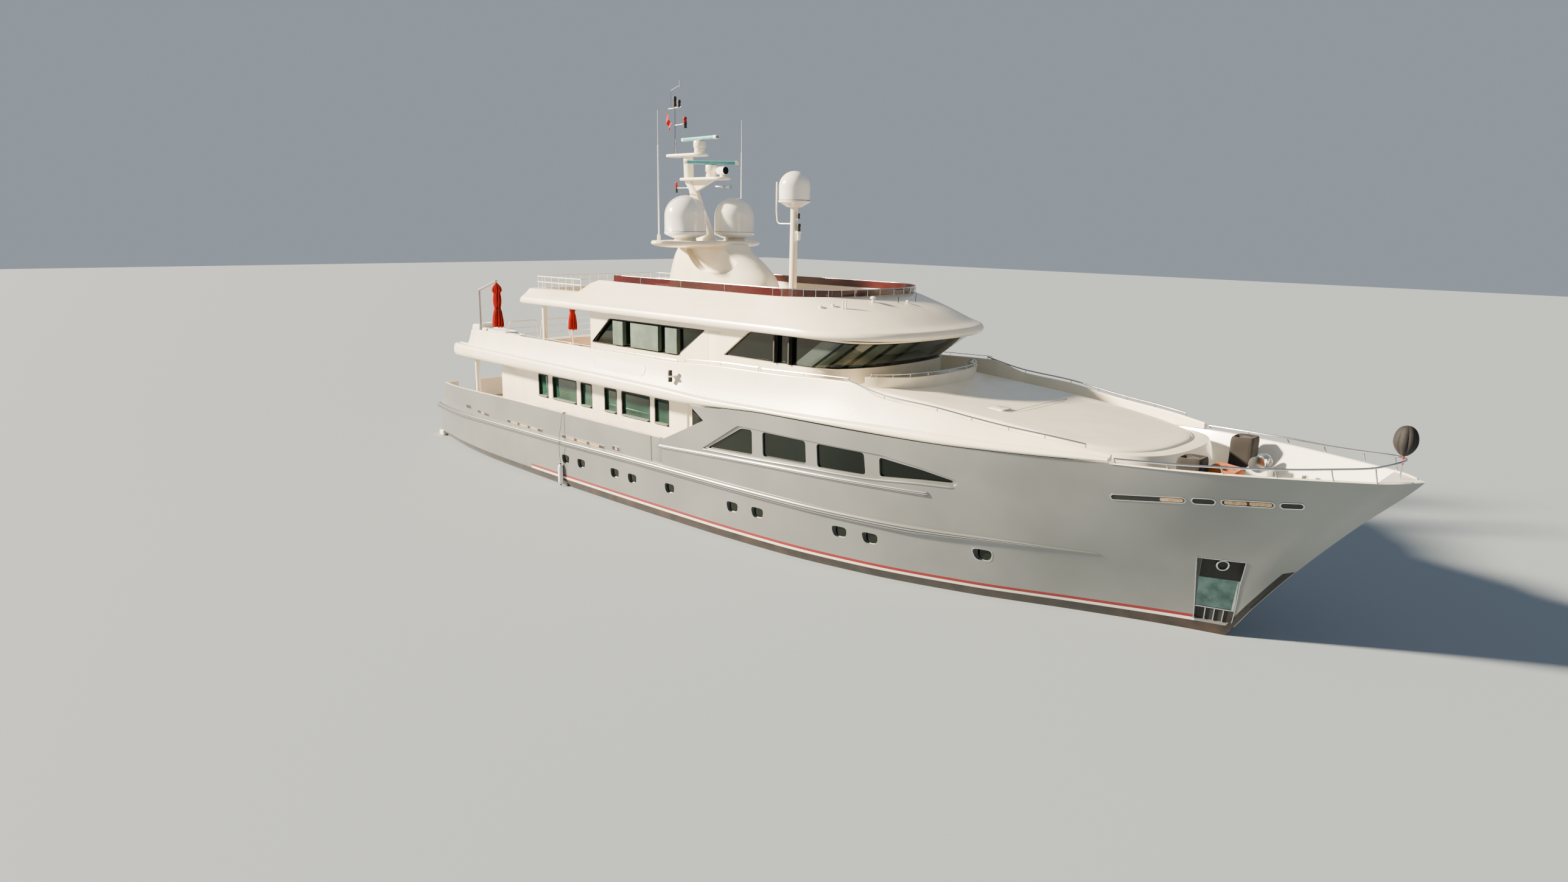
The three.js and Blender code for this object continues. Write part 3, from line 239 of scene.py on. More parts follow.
def rounded(points, reach, steps=6):
    """A path with its corners rounded: each corner P gives way to (1-t)^2 A + 2t(1-t) P + t^2 B, where A
    and B lie a reach away on its two legs."""
    points = np.asarray(points, float)
    before, after = points[:-2] - points[1:-1], points[2:] - points[1:-1]
    legs = [np.linalg.norm(v, axis=1)[:, None] for v in (before, after)]
    a, b = (points[1:-1] + v / n * np.minimum(reach, n * 0.45) for v, n in zip((before, after), legs))
    t = np.linspace(0, 1, steps)[None, :, None]
    bend = (1 - t) ** 2 * a[:, None] + 2 * t * (1 - t) * points[1:-1][:, None] + t * t * b[:, None]
    return np.concatenate([points[:1], bend.reshape(-1, 3), points[-1:]])


def softened(outline, reach, steps=5):
    """A closed outline with rounded corners, by the same bend."""
    flat = np.asarray(outline, float)
    closed = np.concatenate([flat[-1:], flat, flat[:1]])
    return rounded(row_of(closed[:, 0], closed[:, 1], 0), reach, steps)[1:-1, :2]


def distances(points):
    """The running sum of the steps along a path."""
    return np.concatenate([[0], np.cumsum(np.linalg.norm(np.diff(points, axis=0), axis=1))])


def through(points, steps=8):
    """A smooth path through points: each coordinate is a cubic of the distance."""
    points = np.asarray(points, float)
    far = distances(points)
    at = np.interp(np.linspace(0, len(far) - 1, steps * (len(far) - 1) + 1), np.arange(len(far)), far)
    rows = np.column_stack([far, points])
    return np.stack([smooth(rows, at, k) for k in (1, 2, 3)], 1)


def turned(profile, at, sides=48):
    """A profile of radius and height turned about an upright axis."""
    r, z = (column[:, None] for column in np.asarray(profile, float).T)
    angle = round_angles(sides)
    return shell(row_of(r * np.cos(angle), r * np.sin(angle), z) + np.asarray(at, float))


def prism(outline, low, high, axis="z"):
    """An outline pushed along an axis: z takes (x, y), y takes (x, z), x takes (y, z)."""
    order = {"z": [0, 1, 2], "y": [0, 2, 1], "x": [2, 0, 1]}[axis]
    flat = np.asarray(outline, float).T
    return shell([row_of(*flat, level)[:, order] for level in (low, high)])


def corners(aft, fore, low, high):
    """A rectangle's corners."""
    return [(aft, low), (fore, low), (fore, high), (aft, high)]


def block(low, high):
    """A box between two opposite corners."""
    return prism(corners(low[0], high[0], low[1], high[1]), low[2], high[2])


# %% [markdown]
# ## From form to piece
# A piece gets its mesh, smooth shading that breaks at real edges, its body and its material slot.
# Windows are cut by a Boolean modifier whose result is kept as the mesh.

# %% Meshes and their modifiers
def mesh_of(name, form):
    """A mesh with a form's points and faces."""
    points, faces, ends = form
    corner_points = np.concatenate([faces.ravel(), *ends]).astype(np.int32)
    sizes = np.concatenate([np.full(len(faces), 4), [len(e) for e in ends]]).astype(np.int32)
    mesh = bpy.data.meshes.new(name)
    mesh.vertices.add(len(points))
    mesh.vertices.foreach_set("co", points.astype(np.float32).ravel())
    mesh.loops.add(len(corner_points))
    mesh.loops.foreach_set("vertex_index", corner_points)
    mesh.polygons.add(len(sizes))
    mesh.polygons.foreach_set("loop_start", (np.cumsum(sizes) - sizes).astype(np.int32))
    mesh.update(calc_edges=True)
    mesh.validate()
    return mesh


def object_with(name, mesh):
    """An object that shows a mesh."""
    made = bpy.data.objects.new(name, mesh)
    bpy.context.scene.collection.objects.link(made)
    return made


def object_of(name, form):
    """A form as an object."""
    return object_with(name, mesh_of(name, form))


def changed(obj, kind, **settings):
    """Adds a modifier and keeps its result as the mesh."""
    modifier = obj.modifiers.new(kind.lower(), kind)
    for key, value in settings.items():
        setattr(modifier, key, value)
    graph = bpy.context.evaluated_depsgraph_get()
    mesh = bpy.data.meshes.new_from_object(obj.evaluated_get(graph))
    obj.modifiers.clear()
    obj.data = mesh
    return obj


def carved(obj, cutter, way="DIFFERENCE"):
    """Solid arithmetic with a form."""
    tool = object_of("cutter", cutter)
    changed(obj, "BOOLEAN", operation=way, solver="MANIFOLD", object=tool)
    bpy.data.objects.remove(tool)
    return obj


def bevelled(obj, width):
    """A bevel on every edge that turns by more than 40 degrees."""
    return changed(obj, "BEVEL", width=width * MM, segments=2, limit_method="ANGLE",
                   angle_limit=math.radians(40))


def dress(obj, finish, body="vessel", instead=(), crease=35):
    """Finish, shading, body, slot, and the nodes it stands for."""
    mesh = obj.data
    mesh.materials.clear()
    mesh.materials.append(finish)
    mesh.polygons.foreach_set("material_index", np.zeros(len(mesh.polygons), np.int32))
    mesh.shade_smooth()
    mesh.set_sharp_from_angle(angle=math.radians(crease))
    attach(obj, body)
    if instead:
        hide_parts(*instead)
    print(obj.name, len(mesh.polygons), "faces")
    return obj


def piece(name, forms, finish, body="vessel", instead=(), crease=35, soft=0):
    """One form or a list of them as a piece; soft is the width of a bevel."""
    made = object_of(name, together(*forms) if isinstance(forms, list) else forms)
    if soft:
        bevelled(made, soft)
    return dress(made, finish, body, instead, crease)


# %% [markdown]
# ## Finishes
# Each finish is named for the real one. Colours are written as they look on a screen. One small
# function adds a node with its settings and links.

# %% Colour and node helpers
def linear(code):
    """Screen colour to linear light: c / 12.92 below 0.04045, and ((c + 0.055) / 1.055) ^ 2.4 above."""
    c = np.array([int(code[k:k + 2], 16) for k in (1, 3, 5)]) / 255
    c = np.where(c <= 0.04045, c / 12.92, ((c + 0.055) / 1.055) ** 2.4)
    return (*c.tolist(), 1.0)


def add(tree, kind, inputs=(), stops=(), sudden=False, **settings):
    """A node with its settings. Inputs take a number, a screen colour or an output. Stops are a ramp's
    rows of place and shade, which sudden leaves unblended."""
    made = tree.nodes.new("ShaderNode" + kind)
    for key, value in settings.items():
        setattr(made, key, value)
    for key, value in dict(inputs).items():
        if isinstance(value, bpy.types.NodeSocket):
            tree.links.new(value, made.inputs[key])
        else:
            made.inputs[key].default_value = linear(value) if isinstance(value, str) else value
    if stops:
        made.color_ramp.interpolation = "CONSTANT" if sudden else "LINEAR"
        elements = made.color_ramp.elements
        while len(elements) < len(stops):
            elements.new(0.5)
        for element, (place, shade) in zip(elements, stops):
            element.position = place
            element.color = linear(shade) if isinstance(shade, str) else (shade, shade, shade, 1)
    return made


def material(name, slot, **sockets):
    """A principled material; underscores in a socket's name stand for spaces."""
    made = bpy.data.materials.new(name)
    made.use_nodes = True
    shader = made.node_tree.nodes["Principled BSDF"]
    for key, value in sockets.items():
        shader.inputs[key.replace("_", " ")].default_value = value
    return made, made.node_tree, shader


def uneven(tree, shader, per_metre, depth, detail=3.0, stretch=(1, 1, 1)):
    """A bump from noise with so many swells to the metre and a depth in metres."""
    spot = add(tree, "TexCoord").outputs["Object"]
    spot = add(tree, "Mapping", {"Vector": spot, "Scale": stretch}).outputs["Vector"]
    noise = add(tree, "TexNoise", {"Vector": spot, "Scale": per_metre, "Detail": detail}).outputs["Fac"]
    bump = add(tree, "Bump", {"Height": noise, "Distance": depth, "Strength": 1.0})
    tree.links.new(bump.outputs["Normal"], shader.inputs["Normal"])
    return noise


def drifting(tree, shader, factor, dark, light, stops=(0.35, 0.65)):
    """A factor takes the base colour from dark to light between two places."""
    shade = add(tree, "ValToRGB", {"Fac": factor}, [(stops[0], dark), (stops[1], light)])
    tree.links.new(shade.outputs["Color"], shader.inputs["Base Color"])


# %% [markdown]
# The topsides are aluminium under a silver metallic topcoat and clear lacquer. Near the waterline the
# skin carries a white line, a red boot stripe and brown-black antifouling. Inside the bulwarks it is
# white, and a number on each face says where that is.

# %% Silver topcoat with its boot stripe
METALLIC = 0.4
BANDS_FROM = -0.1  # metres; the height range of the bands is one metre
WHITE_LINE, RED_STRIPE, STRIPE_TOP = 0.29, 0.375, 0.465  # metres above the waterline
HULL_FROM, HULL_TO = -20.0, 20.0  # metres
STRIPE_AFT, STRIPE_FORE = -10.0, 15.24  # metres


def silver_topcoat(name, striped):
    """Slow swells tell of faired plate; the bands are ramps of the height."""
    made, tree, shader = material(name, "hull_paint", Roughness=0.3, Coat_Weight=0.5, Coat_Roughness=0.07,
                                  Metallic=METALLIC)
    cloud = uneven(tree, shader, 0.45, 0.01, 2.0)
    paint = add(tree, "ValToRGB", {"Fac": cloud}, [(0.35, "#777a7a"), (0.65, "#828585")]).outputs["Color"]
    if striped:
        spot = add(tree, "TexCoord").outputs["Object"]
        parts = add(tree, "SeparateXYZ", {0: spot}).outputs
        height = add(tree, "MapRange", {"Value": parts["Z"], "From Min": BANDS_FROM,
                                        "From Max": BANDS_FROM + 1}).outputs["Result"]
        along = add(tree, "MapRange", {"Value": parts["X"], "From Min": HULL_FROM,
                                       "From Max": HULL_TO}).outputs["Result"]
        line, stripe, top = (z - BANDS_FROM for z in (WHITE_LINE, RED_STRIPE, STRIPE_TOP))
        aft, fore = ((x - HULL_FROM) / (HULL_TO - HULL_FROM) for x in (STRIPE_AFT, STRIPE_FORE))
        grime = add(tree, "TexNoise", {"Scale": 2.0, "Detail": 6.0, "Vector": spot}).outputs["Fac"]
        bottom, bands, above, between, ahead = (
            add(tree, "ValToRGB", {"Fac": factor}, stops, sudden).outputs["Color"]
            for factor, stops, sudden in (
                (grime, [(0.35, "#181210"), (0.7, "#3a2a20")], False),
                (height, [(0.0, "#e4e0d6"), (stripe, "#7a0a10")], True),
                (height, [(0.0, 0.0), (line, 1.0)], True),
                (height, [(0.0, 0.0), (line, 1.0), (top, 0.0)], True),
                (along, [(0.0, 0.0), (aft, 1.0), (fore, 0.0)], True)))
        banded = add(tree, "Math", {0: between, 1: ahead}, operation="MULTIPLY").outputs[0]
        inboard = add(tree, "Attribute", attribute_name="inboard").outputs["Fac"]
        for share, under, over in ((above, bottom, paint), (banded, None, bands), (inboard, None, "#eceae2")):
            colours = {0: share, 6: under or paint, 7: over}
            paint = add(tree, "Mix", colours, data_type="RGBA").outputs[2]
        covered = add(tree, "Math", {0: banded, 1: inboard}, operation="ADD").outputs[0]
        bare = add(tree, "Math", {0: above, 1: covered}, operation="SUBTRACT", use_clamp=True).outputs[0]
        metal = add(tree, "Math", {0: bare, 1: METALLIC}, operation="MULTIPLY").outputs[0]
        tree.links.new(metal, shader.inputs["Metallic"])
    tree.links.new(paint, shader.inputs["Base Color"])
    return made


topcoat = silver_topcoat("silver_metallic_topcoat", True)
plain_topcoat = silver_topcoat("silver_topcoat_without_stripes", False)
print("topcoats", topcoat.name, plain_topcoat.name)

# %% [markdown]
# The upperworks are cream enamel. Sprayed enamel has a faint orange peel, drawn coarser here so that
# it shows, and rain leaves it a little greyer in places.

# %% Cream enamel
def enamel(name, light, grey, rough=0.3, peel=9.0, depth=0.0015):
    """Peel is swells to the metre; the streaks are noise stretched upward by four."""
    made, tree, shader = material(name, "white_paint", Roughness=rough, Coat_Weight=0.5, Coat_Roughness=0.08)
    uneven(tree, shader, peel, depth, 2.0)
    spot = add(tree, "TexCoord").outputs["Object"]
    streak = add(tree, "Mapping", {"Vector": spot, "Scale": (1, 1, 0.25)}).outputs["Vector"]
    dirt = add(tree, "TexNoise", {"Vector": streak, "Scale": 1.3, "Detail": 5.0}).outputs["Fac"]
    drifting(tree, shader, dirt, grey, light, (0.35, 0.6))
    return made


cream = enamel("cream_enamel", "#fbf2de", "#f4ead3")
deck_cream = enamel("nonskid_deck_paint", "#dedcd2", "#d2cfc4", 0.6, 60.0, 0.003)
white = enamel("white_gelcoat", "#f4f3ee", "#eceae2", 0.22)
print("enamels", cream.name, deck_cream.name, white.name)

# %% [markdown]
# Teak decks are planks of oiled wood 60 mm wide with a black rubber seam between them. The record has
# no slot for wood, so teak fills that of the other brown finish.

# %% Teak decking
def laid_teak(name, plank=0.06, seam=0.085):
    """A seam is where y / plank, in metres, has a fraction below the seam's share."""
    made, tree, shader = material(name, "bronze", Roughness=0.6)
    grain = uneven(tree, shader, 30.0, 0.001, 4.0, (0.12, 1, 1))
    y = add(tree, "SeparateXYZ", {0: add(tree, "TexCoord").outputs["Object"]}).outputs["Y"]
    planks = add(tree, "Math", {0: y, 1: plank}, operation="DIVIDE").outputs[0]
    share = add(tree, "Math", {0: planks}, operation="FRACT").outputs[0]
    line = add(tree, "ValToRGB", {"Fac": share}, [(0.0, 1.0), (seam, 0.0)], True).outputs["Color"]
    wood = add(tree, "ValToRGB", {"Fac": grain}, [(0.3, "#9c7650"), (0.7, "#bd9a70")]).outputs["Color"]
    laid = add(tree, "Mix", {0: line, 6: wood, 7: "#1c1a18"}, data_type="RGBA").outputs[2]
    tree.links.new(laid, shader.inputs["Base Color"])
    return made


teak = laid_teak("oiled_teak_planks")
print("decking", teak.name)

# %% [markdown]
# Glass is smooth and near black, and its specular level is held down so that the pale sky doesn't
# wash it out. Polished steel is bright with faint buffing waves, bronze is duller, rubber is dull.

# %% Glass, metals and plastics
def plain(name, slot, light, dark, rough, per_metre=8.0, depth=0.001, detail=3.0, **sockets):
    """A finish whose colour drifts with the same noise that roughens it."""
    made, tree, shader = material(name, slot, Roughness=rough, **sockets)
    drifting(tree, shader, uneven(tree, shader, per_metre, depth, detail), dark, light)
    return made


GLASS, STEEL, RUBBER, BROWN = "tinted_glass", "stainless", "black_shape", "bronze"
tinted_glass = plain("tinted_glass", GLASS, "#0a1310", "#060b09", 0.05, 0.3, 0.003,
                     Specular_IOR_Level=0.22)
smoked_glass = plain("smoked_wheelhouse_glass", GLASS, "#3d4946", "#2c3634", 0.05, 0.5, 0.003,
                     Specular_IOR_Level=0.35)
pale_blind = plain("pale_woven_blind", GLASS, "#7f8d84", "#68766d", 0.7, 90.0)
grey_curtain = plain("grey_green_curtain_behind_glass", GLASS, "#67776e", "#55645c", 0.12, 2.0, 0.002,
                     Specular_IOR_Level=0.3)
green_glass = plain("green_tinted_glass", GLASS, "#2a4a42", "#1a3630", 0.06, 0.6, 0.003, 1.0,
                    Specular_IOR_Level=0.3)
stainless = plain("polished_stainless_steel", STEEL, "#d3d5d6", "#bfc2c4", 0.16, 40.0, 0.0004, Metallic=1.0)
mirror_steel = plain("mirror_steel_sheet", STEEL, "#6f8784", "#4d6461", 0.08, 3.0, 0.002, Metallic=1.0)
grey_alloy = plain("grey_anodised_alloy", STEEL, "#aeb0b0", "#989a9b", 0.35, 10.0, Metallic=0.7)
grey_rope = plain("grey_braided_rope", STEEL, "#8e8a80", "#5f5c55", 0.85, 140.0, 0.002)
bronze = plain("cast_bronze", BROWN, "#a8824b", "#8c6536", 0.34, 14.0, 0.002, Metallic=1.0)
tan_sole = plain("tan_weathered_plate", BROWN, "#cdb08a", "#a98a62", 0.4, 12.0, Metallic=0.25)
antifoul = plain("brown_antifouling", "antifouling", "#2e221d", "#211814", 0.75, 6.0, 0.004)
claret_glass = plain("claret_acrylic_screen", "claret_screen", "#4a1a1c", "#33100f", 0.08, 0.5, 0.002,
                     Alpha=0.86)
lamp_red = plain("red_lamp_lens", "claret_screen", "#a51c16", "#7d120e", 0.12, 30.0)
teal_plastic = plain("teal_radar_plastic", "scanner_teal", "#62a9ad", "#4f9a9f", 0.35, 5.0)
# Black rubber. The same finish is also laid as painted shade in the bulwark slots and the anchor pockets.
black_rubber = plain("black_rubber", RUBBER, "#1d1d1f", "#131315", 0.65, 20.0, 0.002)
black_canvas = plain("black_canvas", RUBBER, "#1f1e20", "#151416", 0.8, 60.0, 0.003)
grey_seal = plain("grey_sealant", "white_paint", "#5d5f5e", "#4a4c4b", 0.6, 20.0)

# %% [markdown]
# ## The lines of the hull
# The same stations as the solids: half-breadths of the deck edge and the boot top, the rake of the stem
# and the stern, and the heights of the top edge and the bottom.

# %% Tables of the hull
BOW_TIP, TRANSOM, BOOT_TOP, BELT_LOW = 19760, -19200, 350, 4300
DECK_PLAN = [
    (-18650, 3480), (-17500, 3790), (-16500, 3970), (-15000, 4100), (-10000, 4220), (0, 4250), (6000, 4200),
    (9000, 4000), (11000, 3700), (13460, 3160), (14980, 2790), (16150, 2400), (17340, 1830), (18580, 1140),
    (19230, 720), (BOW_TIP, 40)]
WATER_PLAN = [
    (TRANSOM, 3300), (-16000, 3850), (-13000, 4100), (-8000, 4200), (0, 4120), (3700, 3930), (6800, 3450),
    (9900, 2550), (12700, 1380), (15150, 400), (16240, 40)]
STEM = [
    (-2000, 12600), (-1500, 14000), (-800, 15250), (0, 16000), (970, 16640), (2110, 17460), (3460, 18560),
    (4680, 19670), (4800, BOW_TIP)]
BILGE_LOW = -900
STERN = [
    (BILGE_LOW, -18300), (0, TRANSOM), (1550, TRANSOM), (1900, -18720), (2650, -18500), (BELT_LOW, -18350)]
SHEER = [
    (-18650, 4280), (600, 4280), (2000, 4400), (3500, 4470), (9000, 4500), (11000, 4550), (13460, 4640),
    (17500, 4740), (BOW_TIP, 4800)]
BOTTOM = [(-18650, -700), (-12000, -1350), (-5000, -1850), (2000, -2000), (12600, -2000)]
FLARE = 1.2
EDGE_AFT = float(straight(STERN, BELT_LOW))
KEEL_FORE = 12600
LEAST_HALF = 20


def topside(u, v, inset=0.0):
    """A point of the side. u runs from stern to stem and v from boot top to deck edge: X and Z run
    straight between them, and the breadth goes from the boot top's to the deck edge's as v^1.2."""
    u, v = np.broadcast_arrays(np.asarray(u, float), np.asarray(v, float))
    edge = mix(EDGE_AFT, BOW_TIP, u)
    water = mix(straight(STERN, BOOT_TOP), smooth(STEM, BOOT_TOP), u)
    z = mix(BOOT_TOP, smooth(SHEER, edge), v)
    x = mix(straight(STERN, z), smooth(STEM, z), u)
    y = mix(smooth(WATER_PLAN, water), smooth(DECK_PLAN, edge), np.clip(v, 0, 2) ** FLARE)
    return np.stack([x, np.maximum(y - inset, LEAST_HALF), z], -1)


def underwater(u, s):
    """A point below the boot top, where s runs from the keel up: a rounded bilge amidships that turns
    into a straight V at the bow as u^4."""
    u, s = np.broadcast_arrays(np.asarray(u, float), np.asarray(s, float))
    water = mix(straight(STERN, BOOT_TOP), smooth(STEM, BOOT_TOP), u)
    stem = mix(smooth(BOTTOM, KEEL_FORE), BOOT_TOP, s)
    depth = smooth(BOTTOM, mix(straight(STERN, BILGE_LOW), KEEL_FORE, u))
    quarter = s * np.pi / 2
    rise = mix((1 - np.cos(quarter)) ** 0.8, s, u ** 4)
    breadth = mix(np.sin(quarter) ** 0.9, s, u ** 4)
    x = mix(straight(STERN, mix(BILGE_LOW, BOOT_TOP, s)), smooth(STEM, stem), u)
    return np.stack([x, smooth(WATER_PLAN, water) * breadth, mix(depth, BOOT_TOP, rise)], -1)


def place_on_side(x, z):
    """u and v of the side at X and Z."""
    x, z = np.asarray(x, float), np.asarray(z, float)
    aft, fore = straight(STERN, z), smooth(STEM, z)
    u = np.clip((x - aft) / (fore - aft), 0, 1)
    return u, (z - BOOT_TOP) / (smooth(SHEER, mix(EDGE_AFT, BOW_TIP, u)) - BOOT_TOP)


def half_breadth(x, z):
    """How far the skin is from the centreline."""
    return topside(*place_on_side(x, z))[..., 1]


def within(inset, low, high, aft, fore, rows=140, levels=24):
    """What lies inside the skin by an inset, between two heights and two places."""
    x, z = np.broadcast_arrays(np.linspace(aft, fore, rows)[:, None], np.linspace(low, high, levels)[None])
    return mirrored(np.stack([x, np.maximum(half_breadth(x, z) - inset, LEAST_HALF), z], -1))


# %% [markdown]
# Small plates and rims lie on the side. Their outlines are drawn in X and Z, first along the lower edge
# and then back along the upper one, and every point is put on the skin.

# %% Plates and rims on the side
def on_side(outline, out, side, skin=half_breadth):
    """Puts an outline of X and Z on the skin, or out from it."""
    x, z = np.asarray(outline, float).T
    return np.column_stack([x, side * (skin(x, z) + out), z])


def plate(outline, proud, side, sunk=14, skin=half_breadth):
    """Stations across the outline, proud of the skin and sunk in it."""
    many = len(outline) // 2
    low, top = outline[:many], outline[many:][::-1]
    edges = ((low, proud), (top, proud), (top, -sunk), (low, -sunk))
    return shell(np.stack([on_side(edge, out, side, skin) for edge, out in edges], 1))


def rim(outer, inner, proud, side, sunk=14, skin=half_breadth):
    """A flat ring of four loops: outer and inner, proud and sunk."""
    edges = ((outer, -sunk), (outer, proud), (inner, proud), (inner, -sunk))
    loops = np.stack([on_side(edge, out, side, skin) for edge, out in edges]) * MM
    many = loops.shape[1]
    return outward((loops.reshape(-1, 3), quads(5, many) % (4 * many), []))


def slot_line(aft, fore, half, grow=0.0, many=28):
    """A slot with round ends between two (x, z) points: its half-height is half sqrt(1 - r^2), where r
    runs from 0 to 1 over the round end."""
    first, last, tall = aft[0] - grow, fore[0] + grow, half + grow
    x = mix(first, last, evenly(many, 1.0))
    r = np.clip((tall - np.minimum(x - first, last - x)) / tall, 0, 0.999)
    z = mix(aft[1], fore[1], (x - aft[0]) / (fore[0] - aft[0]))
    edge = tall * np.sqrt(1 - r * r)
    return np.concatenate([np.column_stack([x, z - edge]), np.column_stack([x, z + edge])[::-1]])


def round_ended(aft, fore, low, high, round_aft, round_fore, grow=0):
    """A box with rounded ends, as lower and upper edge: each end is cut back by r (1 - sqrt(1 - e^2)),
    where e runs from 1 at the end to 0 at r from it."""
    x = mix(aft - grow, fore + grow, evenly(30, 1.0))
    ends = ((round_aft, x - aft + grow), (round_fore, fore + grow - x))
    cut = sum(r * (1 - np.sqrt(1 - np.clip(1 - far / r, 0, 1) ** 2)) for r, far in ends)
    lower, upper = np.column_stack([x, low - grow + cut]), np.column_stack([x, high + grow - cut])
    return np.concatenate([lower, upper[::-1]])


# %% [markdown]
# ## The hull
# One closed skin from keel to deck edge, dense enough to look fair. The decks, the cabins, the windows
# and the anchor pockets are cut from it.

# %% Hull skin, decks and cabins
MAIN_DECK, BULWARK_TOP, PLATING, WELL_DECK = 1900, 2900, 120, 3850
CLEAR = 5000
NOTCH = [
    (-19500, 2650), (-18500, 2680), (-15500, 2790), (-12500, 2880), (-11000, BULWARK_TOP),
    (-1500, BULWARK_TOP), (590, 3850), (-50, 4250), (-50, 4500), (-19500, 4500)]
WELL = (12900, 19000)
SKEG = [(-13500, -1100), (-13000, -2300), (8500, -2300), (10500, -1800)]
SKEG_HALF = 140
CUTS = [
    within(PLATING, MAIN_DECK, 4900, -18380, 300),
    prism(NOTCH, -CLEAR, CLEAR, "y"),
    within(PLATING, WELL_DECK, 5200, *WELL),
    within(PLATING, 2000, 4120, 700, 11000),
    block((200, -450, 2050), (800, 450, 4050))]

u = evenly(300)[:, None]
below = underwater(u, np.linspace(0, 1, 22)[None, :-1])
above = topside(u, np.linspace(0, 1, 46)[None])
hull = object_of("hull_shell", mirrored(np.concatenate([below, above], 1)))
carved(hull, prism(SKEG, -SKEG_HALF, SKEG_HALF, "y"), "UNION")
for cut in CUTS:
    carved(hull, cut)
print("hull faces after the decks", len(hull.data.polygons))

# %% [markdown]
# The anchors sit in pockets in the bow, the gates and the stern steps need gaps in the bulwark, and
# the rudders' stocks come up through the bottom.

# %% Anchor pockets, steps, gates and bores for the rudders
ANCHOR_POCKET = [(15280, 16150, 360, 70), (15380, 16330, 1550, 200), (15470, 16500, 2250, 380)]
LEVELS = [row[2] for row in ANCHOR_POCKET]
GATE_OPENING = (-2200, -1600, 1990, 3300)
PROPELLER = dict(x=-15300, y=2000, z=-1560)
RUDDER = dict(x=-17000, y=2000, low=-920)
STOCK_BORE = dict(low=-1200, high=-400, radius=72)
STEPS = dict(fore=-18000, tread=300, rise=335, many=4, top=3500, inner=1900, outer=2800)


def in_pocket(s, z, lift, side):
    """A point of the pocket's wall at the share s of its length, lifted outward."""
    ends = [(aft, fore, half_breadth(aft, level) - depth, max(half_breadth(fore, level) - depth, 30))
            for aft, fore, level, depth in ANCHOR_POCKET]
    aft, fore, y_aft, y_fore = (np.interp(z, LEVELS, [row[k] for row in ends]) for k in range(4))
    return row_of(mix(aft, fore, s), side * (mix(y_aft, y_fore, s) + lift), z)


def pocket(side):
    """The pocket as one solid: its wall, closed by two points outside the hull."""
    z = np.concatenate([np.linspace(*LEVELS[:2], 11), np.linspace(*LEVELS[1:], 8)[1:]])[:, None]
    wall = in_pocket(np.linspace(0, 1, 13)[None], z, 0, side)
    outside = [wall[:, edge] * [1, 0, 1] + [0, side * 3000, 0] for edge in (slice(-1, None), slice(0, 1))]
    return shell(np.concatenate([wall, *outside], 1))


def stock_bore(side):
    """The round hole that a rudder's stock turns in."""
    ends = [(RUDDER["x"], side * RUDDER["y"], STOCK_BORE[end]) for end in ("low", "high")]
    return rod(*ends, STOCK_BORE["radius"], sides=32)


stair = [(STEPS["fore"], STEPS["top"]), (STEPS["fore"], MAIN_DECK)]
for k in range(1, STEPS["many"] + 1):
    level = MAIN_DECK - STEPS["rise"] * k
    stair += [(STEPS["fore"] - STEPS["tread"] * (k - 1), level), (STEPS["fore"] - STEPS["tread"] * k, level)]
stair += [(TRANSOM - 400, stair[-1][1]), (TRANSOM - 400, STEPS["top"])]
for name, side in SIDES:
    carved(hull, pocket(side))
    carved(hull, stock_bore(side))
    carved(hull, prism(stair, *spread(side, STEPS["inner"], STEPS["outer"]), "y"))
    carved(hull, prism(corners(*GATE_OPENING), *spread(side, 3900, 4700), "y"))
print("hull faces after the pockets", len(hull.data.polygons))

# %% [markdown]
# Each propeller's shaft runs out of a tube with a strut above it, and each rudder's stock turns in a
# short trunk. Both are bored, so the turning parts are clear of them.

# %% Shaft tubes, struts and rudder trunks
SHAFT = dict(tube_from=260, tube_to=5200, lift=420, strut_top=-400, strut_half=35, bore=64)
for name, side in SIDES:
    x, y, z = PROPELLER["x"], side * PROPELLER["y"], PROPELLER["z"]
    run = [(x + SHAFT["tube_from"], y, z), (x + SHAFT["tube_to"], y, z + SHAFT["lift"])]
    line = object_of(f"shaft_tube_{name}", rod(*run, 110, 95, 32))
    strut = [(x + 900, SHAFT["strut_top"]), (x + 500, z), (x + 800, z), (x + 1300, SHAFT["strut_top"])]
    carved(line, prism(strut, y - SHAFT["strut_half"], y + SHAFT["strut_half"], "y"), "UNION")
    carved(line, rod((x - 50, y, z), (x + 700, y, z), SHAFT["bore"], sides=32))
    dress(line, antifoul)
    stock = (RUDDER["x"], side * RUDDER["y"])
    trunk = object_of(f"rudder_trunk_{name}", rod((*stock, RUDDER["low"]), (*stock, 0), 130, 150, 32))
    dress(carved(trunk, stock_bore(side)), antifoul)

# %% [markdown]
# ## The hull's windows
# Four panes a side sit in one band that is set back into the plating. The band is cut first, then a
# pale frame is let into it, and the glass lies behind.

# %% Window band, frames and glass
HULL_WINDOWS = [
    [(690, 2950), (2750, 3050), (2760, 3870), (2280, 3850)],
    [(3210, 3100), (4980, 3170), (4980, 3880), (3210, 3880)],
    [(5410, 3160), (7120, 3220), (7120, 3880), (5410, 3880)],
    [(7590, 3260), (8950, 3390), (9780, 3440), (9870, 3510), (8950, 3690), (7620, 3840)]]
BAND = softened([
    (440, 2880), (2700, 2970), (5000, 3080), (7130, 3150), (8950, 3310), (9840, 3350), (10010, 3470),
    (9960, 3560), (8950, 3770), (7700, 3930), (2200, 3930)], 90)
FRAME_DEPTHS, PANE_DEPTHS = (62, 119), (120, 134)


